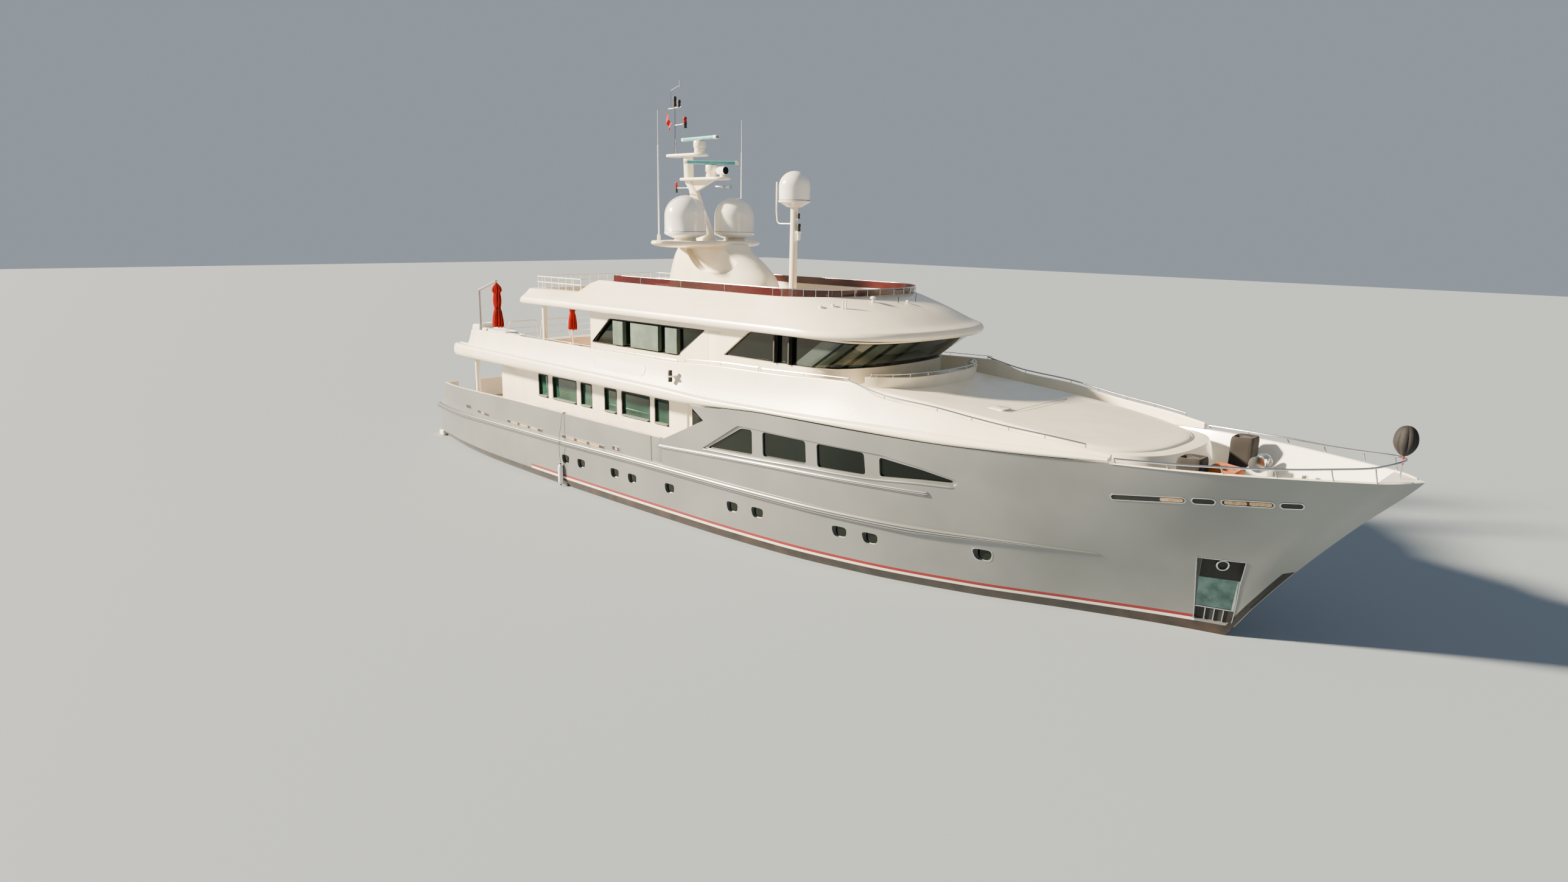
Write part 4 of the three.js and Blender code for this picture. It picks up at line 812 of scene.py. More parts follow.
def slab_on_side(name, outline, depths, side):
    """A slab that follows the side between two depths, cut to an outline."""
    x, z = np.broadcast_arrays(np.linspace(0, 11000, 90)[:, None], np.linspace(2700, 4150, 14)[None])
    outer, inner = (row_of(x, side * (half_breadth(x, z) - depth), z) for depth in depths)
    made = object_of(name, shell(np.concatenate([outer, inner[:, ::-1]], 1)))
    return carved(made, prism(outline, *spread(side, 2000, CLEAR), "y"), "INTERSECT")


for name, side in SIDES:
    reach = spread(side, 2500, CLEAR)
    carved(hull, prism(BAND, *reach, "y"))
    frame_piece = slab_on_side(f"hull_window_frame_{name}", BAND, FRAME_DEPTHS, side)
    for window in HULL_WINDOWS:
        carved(frame_piece, prism(softened(window, 110), *reach, "y"))
    dress(frame_piece, plain_topcoat)
    pane = slab_on_side(f"hull_windows_{name}", corners(400, 10000, 2850, 4000), PANE_DEPTHS, side)
    dress(pane, tinted_glass, instead=[f"hull_glass_{name}"])

# %% [markdown]
# ## Portholes
# Ten a side, each a rounded shape wider at its top, let 90 mm into the plating. The one nearest the bow
# has a rim of steel.

# %% Portholes
PORTHOLES = [
    (-7490, 1090), (-6450, 1100), (-4350, 1130), (-3320, 1120), (-1250, 1170), (1830, 1160), (2930, 1200),
    (6080, 1250), (7100, 1250), (10370, 1380)]
PORT_SHAPE = np.array([(-275, 175), (-210, -175), (210, -175), (275, 175)], float)


def port_line(place, grow):
    """A porthole's outline, larger or smaller by a factor."""
    return softened(PORT_SHAPE * grow + place, 150, 7)


def porthole(place, grow, depths, side):
    """A plug in the shape of a porthole, between two depths."""
    y = half_breadth(*place)
    return prism(port_line(place, grow), *spread(side, *(y - depth for depth in depths)), "y")


for name, side in SIDES:
    carved(hull, together(*[porthole(place, 1, (100, -400), side) for place in PORTHOLES]))
    piece(f"portholes_{name}", [porthole(place, 0.86, (99, 82), side) for place in PORTHOLES], tinted_glass)
    ring = rim(port_line(PORTHOLES[-1], 1.1), port_line(PORTHOLES[-1], 1.0), 8, side)
    piece(f"porthole_rims_{name}", ring, stainless)

# %% [markdown]
# A number on each face says where the hull is white: inside the skin and above the main deck or the
# well. The topcoat reads it.

# %% Where the hull is white
middle = np.zeros(len(hull.data.polygons) * 3)
hull.data.polygons.foreach_get("center", middle)
x, y, z = middle.reshape(-1, 3).T / MM
on_deck = ((x < 620) & (z > MAIN_DECK - 12)) | ((x > WELL[0] - 50) & (z > WELL_DECK - 12))
inside = (np.abs(y) < half_breadth(x, z) - 15) & on_deck
hull.data.attributes.new("inboard", "FLOAT", "FACE").data.foreach_set("value", inside.astype(np.float32))
dress(hull, topcoat, instead=["hull"], crease=30)

# %% [markdown]
# Two half-round mouldings run along the side and take the knocks. Each carries a strip of polished
# steel along the middle of a dark band.

# %% Rub rails
RUB_RAIL = dict(line=[(-19260, 1504), (-16500, 1560), (-13200, 1670), (-7500, 1750), (-1600, 1820),
                      (8000, 1830), (11400, 1930), (13300, 1960)], height=260, proud=125)
HIGH_RAIL = dict(line=[(-1700, 2600), (3200, 2830), (5300, 2900), (9150, 3010)], height=140, proud=56,
                 tail=200)
SILL = dict(line=[(560, 2890), (2700, 2955), (5000, 3065), (7130, 3135), (8950, 3292), (9900, 3338)],
            height=60, proud=34, tail=60)


def rub_rail(side, line, height, proud, part=0.5, lift=0.0, tail=6, count=150):
    """A half-round: at the share s of its height it stands proud by sqrt(1 - (2s)^2)^0.7, and it fades
    out over the last 1 / tail of its length. Part is how much of its height is taken."""
    x = np.linspace(line[0][0], line[-1][0], count)
    z = smooth(line, x)[:, None]
    skin = half_breadth(x, z[:, 0])[:, None]
    fade = np.clip((1 - np.linspace(0, 1, count)) * tail + 0.1, 0, 1)[:, None]
    s = np.linspace(-part, part, 13)
    out = np.sqrt(np.clip(1 - (2 * s) ** 2, 0, 1)) ** 0.7
    face = row_of(x[:, None], skin + proud * fade * out + lift, z + height * s * fade)
    back = face[:, ::-1] * 1.0
    back[..., 1] = skin - 60
    return shell(np.concatenate([face, back], 1) * [1, side, 1])


for name, side in SIDES:
    piece(f"rub_rail_{name}", rub_rail(side, **RUB_RAIL), plain_topcoat)
    piece(f"high_rub_rail_{name}", rub_rail(side, **HIGH_RAIL), plain_topcoat)
    for part_name, finish, low_rail, high_rail in (
            ("bed", black_rubber, dict(part=0.17, lift=4), dict(part=0.24, lift=4)),
            ("strip", stainless, dict(part=0.07, lift=10), dict(part=0.1, lift=9))):
        strips = [rub_rail(side, **RUB_RAIL, **low_rail), rub_rail(side, **HIGH_RAIL, **high_rail)]
        piece(f"rub_rail_{part_name}_{name}", strips, finish)
    piece(f"window_sill_{name}", rub_rail(side, **SILL), plain_topcoat)

# %% [markdown]
# ## Fittings on the side
# Slots drain the decks and serve as fairleads. Each is a dark plate in a rim of polished steel, with
# tan plates of worn metal in it. The dark plate is painted shade and stands for the dark of the opening.

# %% Slots and fairleads in the bulwarks
THIRDS = [(0.1, 0.3), (0.36, 0.6), (0.66, 0.88)]
SLOTS = [  # aft end, fore end, half-height, and the stretches of it that carry a tan plate
    ((-15600, 2020), (-15160, 2030), 70, []),
    ((-14440, 1965), (-13400, 1940), 55, [(0.3, 0.6)]),
    ((-11780, 1955), (-9080, 1960), 58, THIRDS),
    ((-7670, 1985), (-4920, 1995), 58, THIRDS),
    ((-4420, 2085), (-4000, 2075), 75, [(0.35, 0.7)]),
    ((13820, 3740), (15420, 3895), 66, [(0.67, 0.98)]),
    ((15570, 3905), (16020, 3935), 70, []),
    ((16160, 3945), (17150, 3995), 66, [(0.04, 0.49), (0.53, 0.97)]),
    ((17280, 3995), (17700, 4025), 66, [])]
RIM_WIDE, TAN_SHARE = 24, 0.78
for name, side in SIDES:
    dark, rims, tan = [], [], []
    for aft, fore, half, stretches in SLOTS:
        # A black plate on the skin is painted shade where the slot opens through the bulwark.
        dark.append(plate(slot_line(aft, fore, half), 3, side))
        rims.append(rim(slot_line(aft, fore, half, RIM_WIDE), slot_line(aft, fore, half), 14, side))
        for stretch in stretches:
            ends = [tuple(mix(np.array(aft, float), np.array(fore, float), share)) for share in stretch]
            tan.append(plate(slot_line(*ends, half * TAN_SHARE), 8, side))
    piece(f"slot_plates_{name}", dark, black_rubber)
    piece(f"slot_rims_{name}", rims, stainless)
    piece(f"slot_tan_plates_{name}", tan, tan_sole)

# %% [markdown]
# The anchor pockets are lined with polished steel: a dark recess with the ring of the hawse pipe, a
# bright plate below it, and three ribs. The dark of the recess is painted shade: black sheets over the
# pocket's wall above and below the plate.

# %% Linings of the anchor pockets
POCKET_EDGE = np.array([
    (15290, 365), (15385, 1550), (15470, 2245), (16490, 2245), (16330, 1550), (16150, 400)], float)
HAWSE_RING = dict(share=0.47, z=1985, half_share=0.125, radius=130, lift=26, thick=26)
RIBS = (0.27, 0.5, 0.73)


def lining(shares, heights, lift, side, thick=30):
    """A sheet in front of the pocket's wall between two shares and two heights."""
    z = np.linspace(*heights, 9)
    first, last = shares
    edges = ((first, lift), (last, lift), (last, lift - thick), (first, lift - thick))
    return shell(np.stack([in_pocket(s, z, out, side) for s, out in edges], 1))


for name, side in SIDES:
    # Black sheets are laid as painted shade over the recess wall, above and below the plate.
    painted_shade_sheets = [lining((0.01, 0.99), heights, 5, side) for heights in ((1600, 2235), (375, 730))]
    piece(f"anchor_pocket_dark_{name}", painted_shade_sheets, black_rubber)
    piece(f"anchor_pocket_plate_{name}", lining((0.02, 0.9), (745, 1590), 12, side), mirror_steel)
    strips = [lining((0.9, 0.96), (745, 1590), 22, side), lining((0.01, 0.97), (718, 745), 30, side)]
    strips += [lining((s - 0.012, s + 0.012), (380, 718), 40, side) for s in RIBS]
    a = np.linspace(0, 2 * np.pi, 33)
    ring = in_pocket(HAWSE_RING["share"] + HAWSE_RING["half_share"] * np.cos(a),
                     HAWSE_RING["z"] + HAWSE_RING["radius"] * np.sin(a), HAWSE_RING["lift"], side)
    t = np.linspace(0, 1, 9)[:-1, None]
    edge = [mix(start, stop, t) for start, stop in zip(POCKET_EDGE[:-1], POCKET_EDGE[1:])]
    edge = on_side(np.concatenate([*edge, POCKET_EDGE[-1:]]), 2, side)
    strips += [tube(ring, HAWSE_RING["thick"], 10), tube(edge, 13, 8)]
    piece(f"anchor_pocket_edges_{name}", strips, stainless)

# %% [markdown]
# A dark plate is wrapped round the stem. It is four lines on the skin a little way aft of the stem, and
# a nose line ahead of it.

# %% Dark plate round the stem
STEM_PLATE_LINES = ((190, -10), (190, 6), (90, 6), (25, 7))  # how far aft of the stem, and how far out
z = np.linspace(215, 2110, 26)
lines = []
for back, out in STEM_PLATE_LINES:
    level = z - back * 0.45 * (z > 900)
    x = smooth(STEM, level) - back
    lines.append(np.column_stack([x, half_breadth(x, level) + out, level]))
half = np.stack([*lines, row_of(smooth(STEM, z) + 5, 10, z)], 1)
stem_plate = shell(np.concatenate([half, (half * [1, -1, 1])[:, ::-1]], 1))
piece("stem_guard", stem_plate, black_rubber)

# %% [markdown]
# A white fender hangs over the starboard side on a thin line that is lashed round the bulwark's top.
# The line is a tube along a smooth path, down through the middle of the fender to a knot under it.

# %% Fender and its line
FENDER_AT = (-7728, -4298)
LINE = [
    (-7490, -4130, 2925), (-7500, -4200, 2938), (-7520, -4262, 2905), (-7560, -4290, 2700),
    (-7600, -4315, 2400), (-7640, -4345, 2100), (-7660, -4365, 1880), (-7680, -4367, 1700),
    (-7700, -4350, 1480), (-7715, -4325, 1250), (-7725, -4302, 1000), (*FENDER_AT, 900),
    (*FENDER_AT, 600), (*FENDER_AT, 300), (*FENDER_AT, 22)]
LINE_RADIUS = 11
BULB = [
    (0, 0), (30, 4), (34, 40), (60, 75), (90, 110), (98, 150), (98, 720), (90, 760), (60, 795), (34, 830),
    (30, 890), (0, 895)]
EYE = [(28, 0), (36, 4), (38, 44), (28, 52)]
KNOT = [(0, 0), (16, 4), (24, 16), (20, 28), (0, 30)]

line = through(LINE, 3)
lanyard = piece("fender_line", tube(line, LINE_RADIUS, 10), grey_rope)
fender = piece("fender", turned(BULB, (*FENDER_AT, 35), 40), white)
ends = [turned(EYE, (*FENDER_AT, z), 28) for z in (38, 868)]
eyes = piece("fender_ends", [*ends, turned(KNOT, (*FENDER_AT, 8), 20)], black_rubber)
lashing = [rod((x, -4110, 2922), (x, -4262, 2916), 12, sides=10) for x in (-7516, -7490, -7464)]
piece("fender_lashing", lashing, black_rubber)
line = line * MM
far = float(distances(line)[-1])
print("fender line", round(far, 3), "m")

# %% [markdown]
# The top edge of the bow carries a pale capping, and the low bulwark aft a thinner one.

# %% Capping along the deck edge
BULWARK_AFT = [(-18500, 2680), (-15500, 2790), (-12500, 2880), (-11000, BULWARK_TOP), (-1500, BULWARK_TOP)]


def capping(x, y, z, wide, tall, side):
    """An oval section along the edge: y + wide cos a / 2 and z + tall sin a / 2."""
    a = round_angles(12)
    out, rise = wide / 2 * np.cos(a), tall / 2 * np.sin(a)
    return shell(row_of(x[:, None], side * (y[:, None] + out), z[:, None] + rise))


for name, side in SIDES:
    fore = np.linspace(13900, 19560, 60)
    edge = np.maximum(smooth(DECK_PLAN, fore) - 62, LEAST_HALF)
    aft = np.linspace(-18380, -1650, 90)
    top = straight(BULWARK_AFT, aft)
    caps = [capping(fore, edge, smooth(SHEER, fore) + 6, 150, 34, side),
            capping(aft, half_breadth(aft, top) - 58, top + 4, 135, 26, side)]
    piece(f"bulwark_capping_{name}", caps, cream)

# %% [markdown]
# ## The upper deck's edge
# A big round moulding runs round the upper deck, with a bulwark that leans in above it. Its section is
# a half-ellipse, a gently hollow wall and a rounded top, whose numbers change along the boat.

# %% Belt and bulwarks
BELT = [  # X, then the breadth, the low edge, the crease, the top and the top's half-breadth
    (-16350, 3720, 4300, 4780, 4800, 3540), (-16200, 4010, 4290, 4810, 4830, 3760),
    (-15850, 4200, 4280, 4830, 4850, 3880), (-15000, 4260, 4280, 4830, 4870, 3930),
    (-14750, 4270, 4280, 4830, 5510, 3950), (-10000, 4330, 4280, 4780, 5550, 3960),
    (-1500, 4350, 4270, 4700, 5550, 3960), (600, 4350, 4340, 4640, 5660, 3950),
    (3500, 4320, 4490, 4670, 5700, 3900), (6300, 4260, 4510, 4740, 5780, 3800),
    (7600, 4190, 4510, 4780, 5470, 3820), (9200, 4060, 4520, 4810, 5360, 3730),
    (11000, 3790, 4570, 4810, 5140, 3480), (12900, 3370, 4640, 4820, 4980, 3170),
    (13850, 3110, 4690, 4800, 4860, 2960)]
BELT_AFT, BELT_FORE = BELT[0][0], BELT[-1][0]
TOP_COLUMN, HALF_COLUMN = 4, 5
BULWARK_THICK, TOP_ROUND, CREASE_IN, HOLLOW = 90, 40, 125, 0.02
UPPER_DECK = 4660


def belt_wall(x, z):
    """The half-breadth above the crease, hollow by a fiftieth of the wall's height."""
    breadth, crease, top, half = (smooth(BELT, x, k) for k in (1, 3, TOP_COLUMN, HALF_COLUMN))
    t = np.clip((z - crease) / (top - TOP_ROUND - crease), 0, 1)
    return mix(breadth - CREASE_IN, half, t) - HOLLOW * (top - crease) * np.sin(np.pi * t)


def belt_section(x):
    """Half-ellipse out to the full breadth and in to the crease, a hollow wall and a rounded top, as one
    closed line per place."""
    breadth, low, crease, top, half = (smooth(BELT, x, k)[:, None] for k in range(1, 6))
    inner = half - BULWARK_THICK
    a = np.linspace(-np.pi / 2, np.pi / 2, 19)[None]
    middle = mix(low, crease, 0.45)
    out = (breadth + 12) - np.where(a < 0, 172, 137) * (1 - np.cos(a))
    rise = middle + np.where(a < 0, middle - low, crease - middle) * np.sin(a)
    t = np.linspace(0, 1, 12)[None, 1:]
    wall_y = mix(breadth - CREASE_IN, half, t) - HOLLOW * (top - crease) * np.sin(np.pi * t)
    wall_z = mix(crease, top - TOP_ROUND, t)
    b = np.linspace(0, np.pi, 9)[None, 1:]
    cap_y = mix(inner, half, 0.5) + BULWARK_THICK / 2 * np.cos(b)
    cap_z = top - TOP_ROUND + TOP_ROUND * np.sin(b)
    y = np.concatenate([inner, out, wall_y, cap_y], 1)
    z = np.concatenate([low, rise, wall_z, cap_z], 1)
    return row_of(x[:, None], y, z)


closer = [np.linspace(BELT_AFT, -15900, 12), np.linspace(-15050, -14700, 16)]
belt = shell(belt_section(np.unique(np.concatenate([np.linspace(BELT_AFT, BELT_FORE, 190), *closer]))))
piece("upper_belt_port", belt, cream, instead=["upper_bulwark_port"], crease=40)
piece("upper_belt_starboard", across(belt), cream, instead=["upper_bulwark_starboard"], crease=40)

# %% [markdown]
# The belt carries a bare raised panel, a pair of lamps above and below a shelf, a small flush frame,
# and thin grab rails along its top.

# %% Fittings on the belt
RAISED_PANEL = (-5520, -2630, 4915, 5268, 30, 176)
SMALL_FRAME = (-12380, -11980, 5015, 5170, 25, 25)
EDGE_GROWTH = 14
SHELF = dict(x=-1030, half=140, out=4398, z=5125, thick=18)
BELT_LAMP = dict(y=4270, tall=178, radius=75, neck=70)
GRAB_RAILS = ((-11900, -7300, 62), (-6900, -1090, 62), (-670, 2760, 118), (2860, 6300, 96))

for name, side in SIDES:
    bare, small = round_ended(*RAISED_PANEL), round_ended(*SMALL_FRAME)
    x, half, z, thick = SHELF["x"], SHELF["half"], SHELF["z"], SHELF["thick"]
    inner = belt_wall(np.array([float(x)]), z)[0] - 20
    ledge = softened(corners(x - half, x + half, inner, SHELF["out"]), 50) * [1, side]
    panel = [plate(bare, 13, side, skin=belt_wall),
             rim(round_ended(*RAISED_PANEL, EDGE_GROWTH), bare, 18, side, skin=belt_wall),
             rim(round_ended(*SMALL_FRAME, EDGE_GROWTH), small, 6, side, skin=belt_wall),
             prism(ledge, z - thick, z + thick)]
    piece(f"belt_panel_{name}", panel, cream)
    tall, radius, neck = BELT_LAMP["tall"], BELT_LAMP["radius"], BELT_LAMP["neck"]
    profile = [(0, 0), (neck, 0), (radius, 8), (radius, tall - 8), (neck, tall), (0, tall)]
    lamps = [turned(profile, (x, side * BELT_LAMP["y"], low), 32) for low in (z - thick - tall, z + thick)]
    piece(f"belt_lamps_{name}", lamps, black_rubber)
    grab = []
    for start, stop, lift in GRAB_RAILS:
        x = np.linspace(start, stop, max(3, int((stop - start) / 1150) + 1))
        y, z = side * (smooth(BELT, x, HALF_COLUMN) - 45), smooth(BELT, x, TOP_COLUMN)
        line = row_of(x, y, z + lift)
        ends = [line[:1] - [0, 0, lift], line, line[-1:] - [0, 0, lift]]
        grab.append(tube(rounded(np.concatenate(ends), 30), 12, 8))
        grab += [rod((a, b, c - 10), (a, b, c + lift), 9, sides=8) for a, b, c in zip(x, y, z)]
    piece(f"belt_grab_rails_{name}", grab, stainless)

# %% [markdown]
# ## Houses, roof and trunk
# The houses and the roof are stacks of plan outlines with a round nose, whose inset changes with height.
# A smooth curve is run through them, so the roof's edge and brow come out as one moulding.

# %% Plan outlines
def plan(aft, fore, half, nose, tail=0, full=2.2, count=40):
    """A plan outline: straight sides, quarter-round tail corners, and a nose whose half-breadth is
    half (1 - s^full)^(1/full) at the share s of its length."""
    a = np.linspace(np.pi / 2, 0, 10) if tail else np.array([np.pi / 2])
    side = [(aft + tail * (1 - np.sin(a)), half - tail * (1 - np.cos(a)))]
    share = np.sin(np.pi / 2 * np.linspace(0, 1, count))
    along = np.linspace(0, 1, 24)[1:-1]
    side.append((mix(aft + tail, fore - nose, along), np.full(len(along), half)))
    side.append((fore - nose + nose * share, half * (1 - share ** full) ** (1 / full)))
    x, y = (np.concatenate([part[k] for part in side]) for k in (0, 1))
    return np.concatenate([np.stack([x, y], 1), np.stack([x[-2::-1], -y[-2::-1]], 1)])


def stack(outlines, levels=0):
    """A skin through outlines at their heights. Levels is how many smooth rings are drawn, each
    coordinate a cubic of the outline's number."""
    rings = np.array(outlines, float)
    if levels:
        rows = np.column_stack([np.arange(len(rings)), rings.reshape(len(rings), -1)])
        at = np.linspace(0, len(rings) - 1, levels)
        columns = [smooth(rows[:, [0, k]], at) for k in range(1, rows.shape[1])]
        rings = np.stack(columns, 1).reshape(levels, -1, 3)
    return shell(rings)


def raised(outline, z):
    """A flat outline at a height, which may be a function of X."""
    return row_of(*outline.T, z(outline[:, 0]) if callable(z) else z)


# %% [markdown]
# The roof has a brow that rises to a rim round its well. Aft of the rim's slope it is low, and a rail
# takes the rim's place.

# %% The sun deck's roof and brow
SUN_UNDERSIDE, SUN_DECK = 6820, 7120
SUN = dict(aft=-11250, fore=7350, half=3770, tail=260, full=2.3)
SUN_RIM = [(-8000, 7460), (-7000, 7960), (2000, 7920), (4700, 7980)]
SHOULDER = 7210
RIM_CUT = [(-12000, 7462), (-7840, 7462), (-7000, 7962), (-7000, 9000), (-12000, 9000)]
BEYOND = 9000


def sun_plan(inset, aft_in, fore_in, z, nose=3400, aft_inset=None):
    """The roof's plan moved in by so much. From X -7000 aft to -10500 its half-breadth changes to that
    of another inset."""
    half = SUN["half"] - inset
    outline = plan(SUN["aft"] + aft_in, SUN["fore"] - fore_in, half, nose, SUN["tail"], SUN["full"])
    wider = (SUN["half"] - (inset if aft_inset is None else aft_inset)) / half
    outline[:, 1] *= np.interp(outline[:, 0], [-10500, -7000], [wider, 1])
    return raised(outline, z)


def sun_rim(x):
    """Height of the rim."""
    return straight(SUN_RIM, x)


def between_shoulder_and_rim(share):
    """A share of the way up the brow, as a function of X."""
    return lambda x: mix(SHOULDER, sun_rim(x), share)


roof = object_of("sun_deck_roof", stack([
    sun_plan(250, 150, 300, SUN_UNDERSIDE), sun_plan(60, 30, 60, SUN_UNDERSIDE + 40), sun_plan(0, 0, 0, 6960),
    sun_plan(30, 30, 60, 7080), sun_plan(140, 110, 400, SHOULDER),
    sun_plan(420, 180, 1200, between_shoulder_and_rim(0.45), 3400, 230),
    sun_plan(740, 230, 2300, between_shoulder_and_rim(0.9), 2600, 310),
    sun_plan(800, 260, 2600, sun_rim, 2400, 360)], 50))
carved(roof, stack([sun_plan(1010, 560, 2900, SUN_DECK, 2200),
                    sun_plan(900, 500, 2750, lambda x: sun_rim(x) + 20, 2300),
                    sun_plan(900, 500, 2750, BEYOND, 2300)]))
carved(roof, prism(RIM_CUT, -CLEAR, CLEAR, "y"))
dress(roof, cream, instead=["sun_deck"], crease=40)

# %% [markdown]
# A thin screen of claret acrylic stands on the rim: a stack of two plans, hollowed by the same plans
# moved in by its thickness.

# %% The screen round the sun deck
SCREEN_TOP, SCREEN_AFT, SCREEN_THICK = 8190, -5880, 18
screen = object_of("sun_screen_glass", stack([
    sun_plan(834, 600, 2654, lambda x: sun_rim(x) + 2, 2350), sun_plan(850, 600, 2600, SCREEN_TOP, 2350)]))
carved(screen, stack([
    sun_plan(834 + SCREEN_THICK, 640, 2672, SUN_DECK, 2340),
    sun_plan(834 + SCREEN_THICK, 640, 2672, lambda x: sun_rim(x) - 20, 2340),
    sun_plan(850 + SCREEN_THICK, 640, 2618, SCREEN_TOP + 50, 2340)]))
carved(screen, block((SCREEN_AFT, -4000, 7000), (BEYOND, 4000, SCREEN_TOP)), "INTERSECT")
dress(screen, claret_glass, instead=["sun_screen"])

top_line = sun_plan(842, 600, 2609, SCREEN_TOP - 4, 2350)
top_line = top_line[top_line[:, 0] > SCREEN_AFT]
uprights = [rod((x, y, float(sun_rim(x)) - 10), (x, y, SCREEN_TOP), 11, sides=8) for x, y, _ in top_line[::4]]
piece("sun_screen_rail", [tube(top_line, 14, 8), *uprights], stainless)

# %% [markdown]
# Small fittings stand on the brow: mushroom-shaped vents, and thin aerials and lamp stems.

# %% Vents and aerials on the brow
VENTS = [  # X, Y, height of its foot, radius and height
    (4340, -2850, 7640, 60, 130), (4590, -2580, 7690, 60, 130), (5080, -1280, 7810, 95, 210),
    (5450, -20, 7745, 60, 130)]
STEMS = [((4870, -2450, 7650), (4880, -2450, 7930)), ((4950, -2400, 7650), (4960, -2400, 7930))]
AERIALS = [((5380, -400, 7760), (5380, -400, 7990), 14), ((5380, 490, 7760), (5390, 500, 8060), 12)]


def mushroom(x, y, z, radius, tall):
    """A vent: a neck under a cap with a domed top."""
    profile = [(0, 0), (radius * 0.45, 0), (radius * 0.4, tall * 0.6), (radius, tall * 0.66),
               (radius * 0.93, tall * 0.86), (radius * 0.5, tall), (0, tall)]
    return turned(profile, (x, y, z), 24)


stems = [rod(foot, head, 22) for foot, head in STEMS]
piece("brow_vents", [mushroom(*vent) for vent in VENTS] + stems, white)
piece("brow_aerials", [rod(*aerial) for aerial in AERIALS], black_rubber)

# %% [markdown]
# The upper house is a hollow stack whose front leans forward, with its windows and doorways cut through
# both sides at once. The wheelhouse's glass is a thinner stack inside the same walls.

# %% The upper house, its wheelhouse and their glass
UPPER = dict(aft=-7050, low=4660.3, sill=5860, high=6819.7, fore_low=5500, fore_high=6900, half=3200)
WALL, PANE = 90, 14
UPPER_WINDOW = [(-6980, 5640), (-1920, 5640), (-500, 6620), (-5840, 6600)]
WHEEL_WINDOW = [(380, 5890), (8000, 5890), (8000, 6770), (1600, 6770)]
AFT_DOORWAY = ((-7100, -1150, 4720), (-6900, 1150, 6720))
SIDE_DOORWAYS = ((-330, -4000, 4720), (290, 4000, 6640))


def house_plan(fore, inset, z):
    """The house's plan with its nose at a place."""
    return raised(plan(UPPER["aft"] + inset, fore - inset, UPPER["half"] - inset, 1500, 0, 2.4), z)


def house_plans(inset, out=0):
    """Upright up to the sill and leaning forward above it; out lengthens it at both ends."""
    return [house_plan(UPPER["fore_low"], inset, UPPER["low"] - out),
            house_plan(UPPER["fore_low"], inset, UPPER["sill"]),
            house_plan(UPPER["fore_high"], inset, UPPER["high"] + out)]


upper_house = object_of("upper_house_walls", stack(house_plans(0)))
carved(upper_house, stack(house_plans(WALL, 20)))
for window in (UPPER_WINDOW, WHEEL_WINDOW):
    carved(upper_house, prism(softened(window, 130), -4000, 4000, "y"))
for doorway in (AFT_DOORWAY, SIDE_DOORWAYS):
    carved(upper_house, block(*doorway))
dress(upper_house, cream, instead=["upper_house"], crease=30)

wheel_glass = object_of("wheelhouse_windscreen", stack(house_plans(WALL + 0.3)))
carved(wheel_glass, stack(house_plans(WALL + PANE, 20)))
carved(wheel_glass, block((420, -4000, 5830), (BEYOND, 4000, 6800)), "INTERSECT")
dress(wheel_glass, tinted_glass, instead=["wheelhouse_glass"])

# %% [markdown]
# Ahead of the house a low trunk covers the fore cabins, with a curved wall between the two. The trunk's
# top slopes down to the bow, and a block joins it to the well's deck.

# %% The trunk over the fore cabins and the curved wall behind it
TRUNK_TOP = [(6000, 5480), (10300, 5150), (13600, 4800), (14600, 4750)]
CROWN = 45


def trunk_top(x):
    """Height of the trunk's edge."""
    return smooth(TRUNK_TOP, x)


def trunk_edge(half, fore, nose, z):
    """A plan of the trunk, narrower towards the bow."""
    outline = plan(5700, fore, half, nose, 0, 2.6, 60)
    shoulder = np.minimum(outline[:, 0], fore - nose)
    outline[:, 1] *= np.interp(shoulder, [5700, 10300, 13600], [1, 0.965, 0.88])
    return raised(outline, z)


trunk = object_of("trunk_top", stack([
    trunk_edge(2820, 14750, 3000, UPPER["low"]),
    trunk_edge(2800, 14450, 3000, lambda x: trunk_top(x) - 120),
    trunk_edge(2740, 14300, 3000, trunk_top),
    trunk_edge(2300, 13700, 3000, lambda x: trunk_top(x) + CROWN)], 24))
carved(trunk, stack([raised(plan(12902, 15150, 2400, 2100, 0, 2.6), 3850.3),
                     raised(plan(12902, 14750, 2380, 1800, 0, 2.6), 4720)]), "UNION")
dress(trunk, cream, instead=["trunk"], crease=40)


def wall_plans(inset, low, high):
    """The curved wall's plan at its foot and its top, 120 further forward."""
    return [raised(plan(3000, fore - inset, 2860 - inset, 1900, 0, 2.6, 60), z)
            for fore, z in ((7060, low), (7180, high))]


bridge_wall = object_of("portuguese_bridge", stack(wall_plans(0, 5165, 5780)))
carved(bridge_wall, stack(wall_plans(80, 5065, 5900)))
carved(bridge_wall, block((6050, -4000, 4000), (BEYOND, 4000, 6000)), "INTERSECT")
dress(bridge_wall, cream, instead=["bridge_wall"], crease=40)

# %% [markdown]
# One seam follows the edge of the trunk and one runs across it. A hatch lies on the starboard side, and
# a rail on short posts runs along the curved wall.

# %% Seams and a hatch on the trunk, the rail on the curved wall
SEAM_INSET, CROSS_SEAM_AT = 330, 10200
HATCH = corners(9540, 10060, -1650, -1130)
RAIL_Z = 5880

inner = trunk_edge(2740 - SEAM_INSET, 14300 - SEAM_INSET * 1.4, 3000, lambda x: trunk_top(x) + 14)[1:-1]
y = np.linspace(-2380, 2380, 30)
crown = 30 * (1 - (y / 2380) ** 2)
cross = row_of(float(CROSS_SEAM_AT), y, trunk_top(CROSS_SEAM_AT) + 8 + crown)
piece("trunk_seams", [tube(inner, 7, 6), tube(cross, 6, 6)], grey_seal)
hatch_z = float(trunk_top(9800.0))
piece("trunk_hatch", prism(softened(HATCH, 90), hatch_z + 5, hatch_z + 48), white, soft=12)

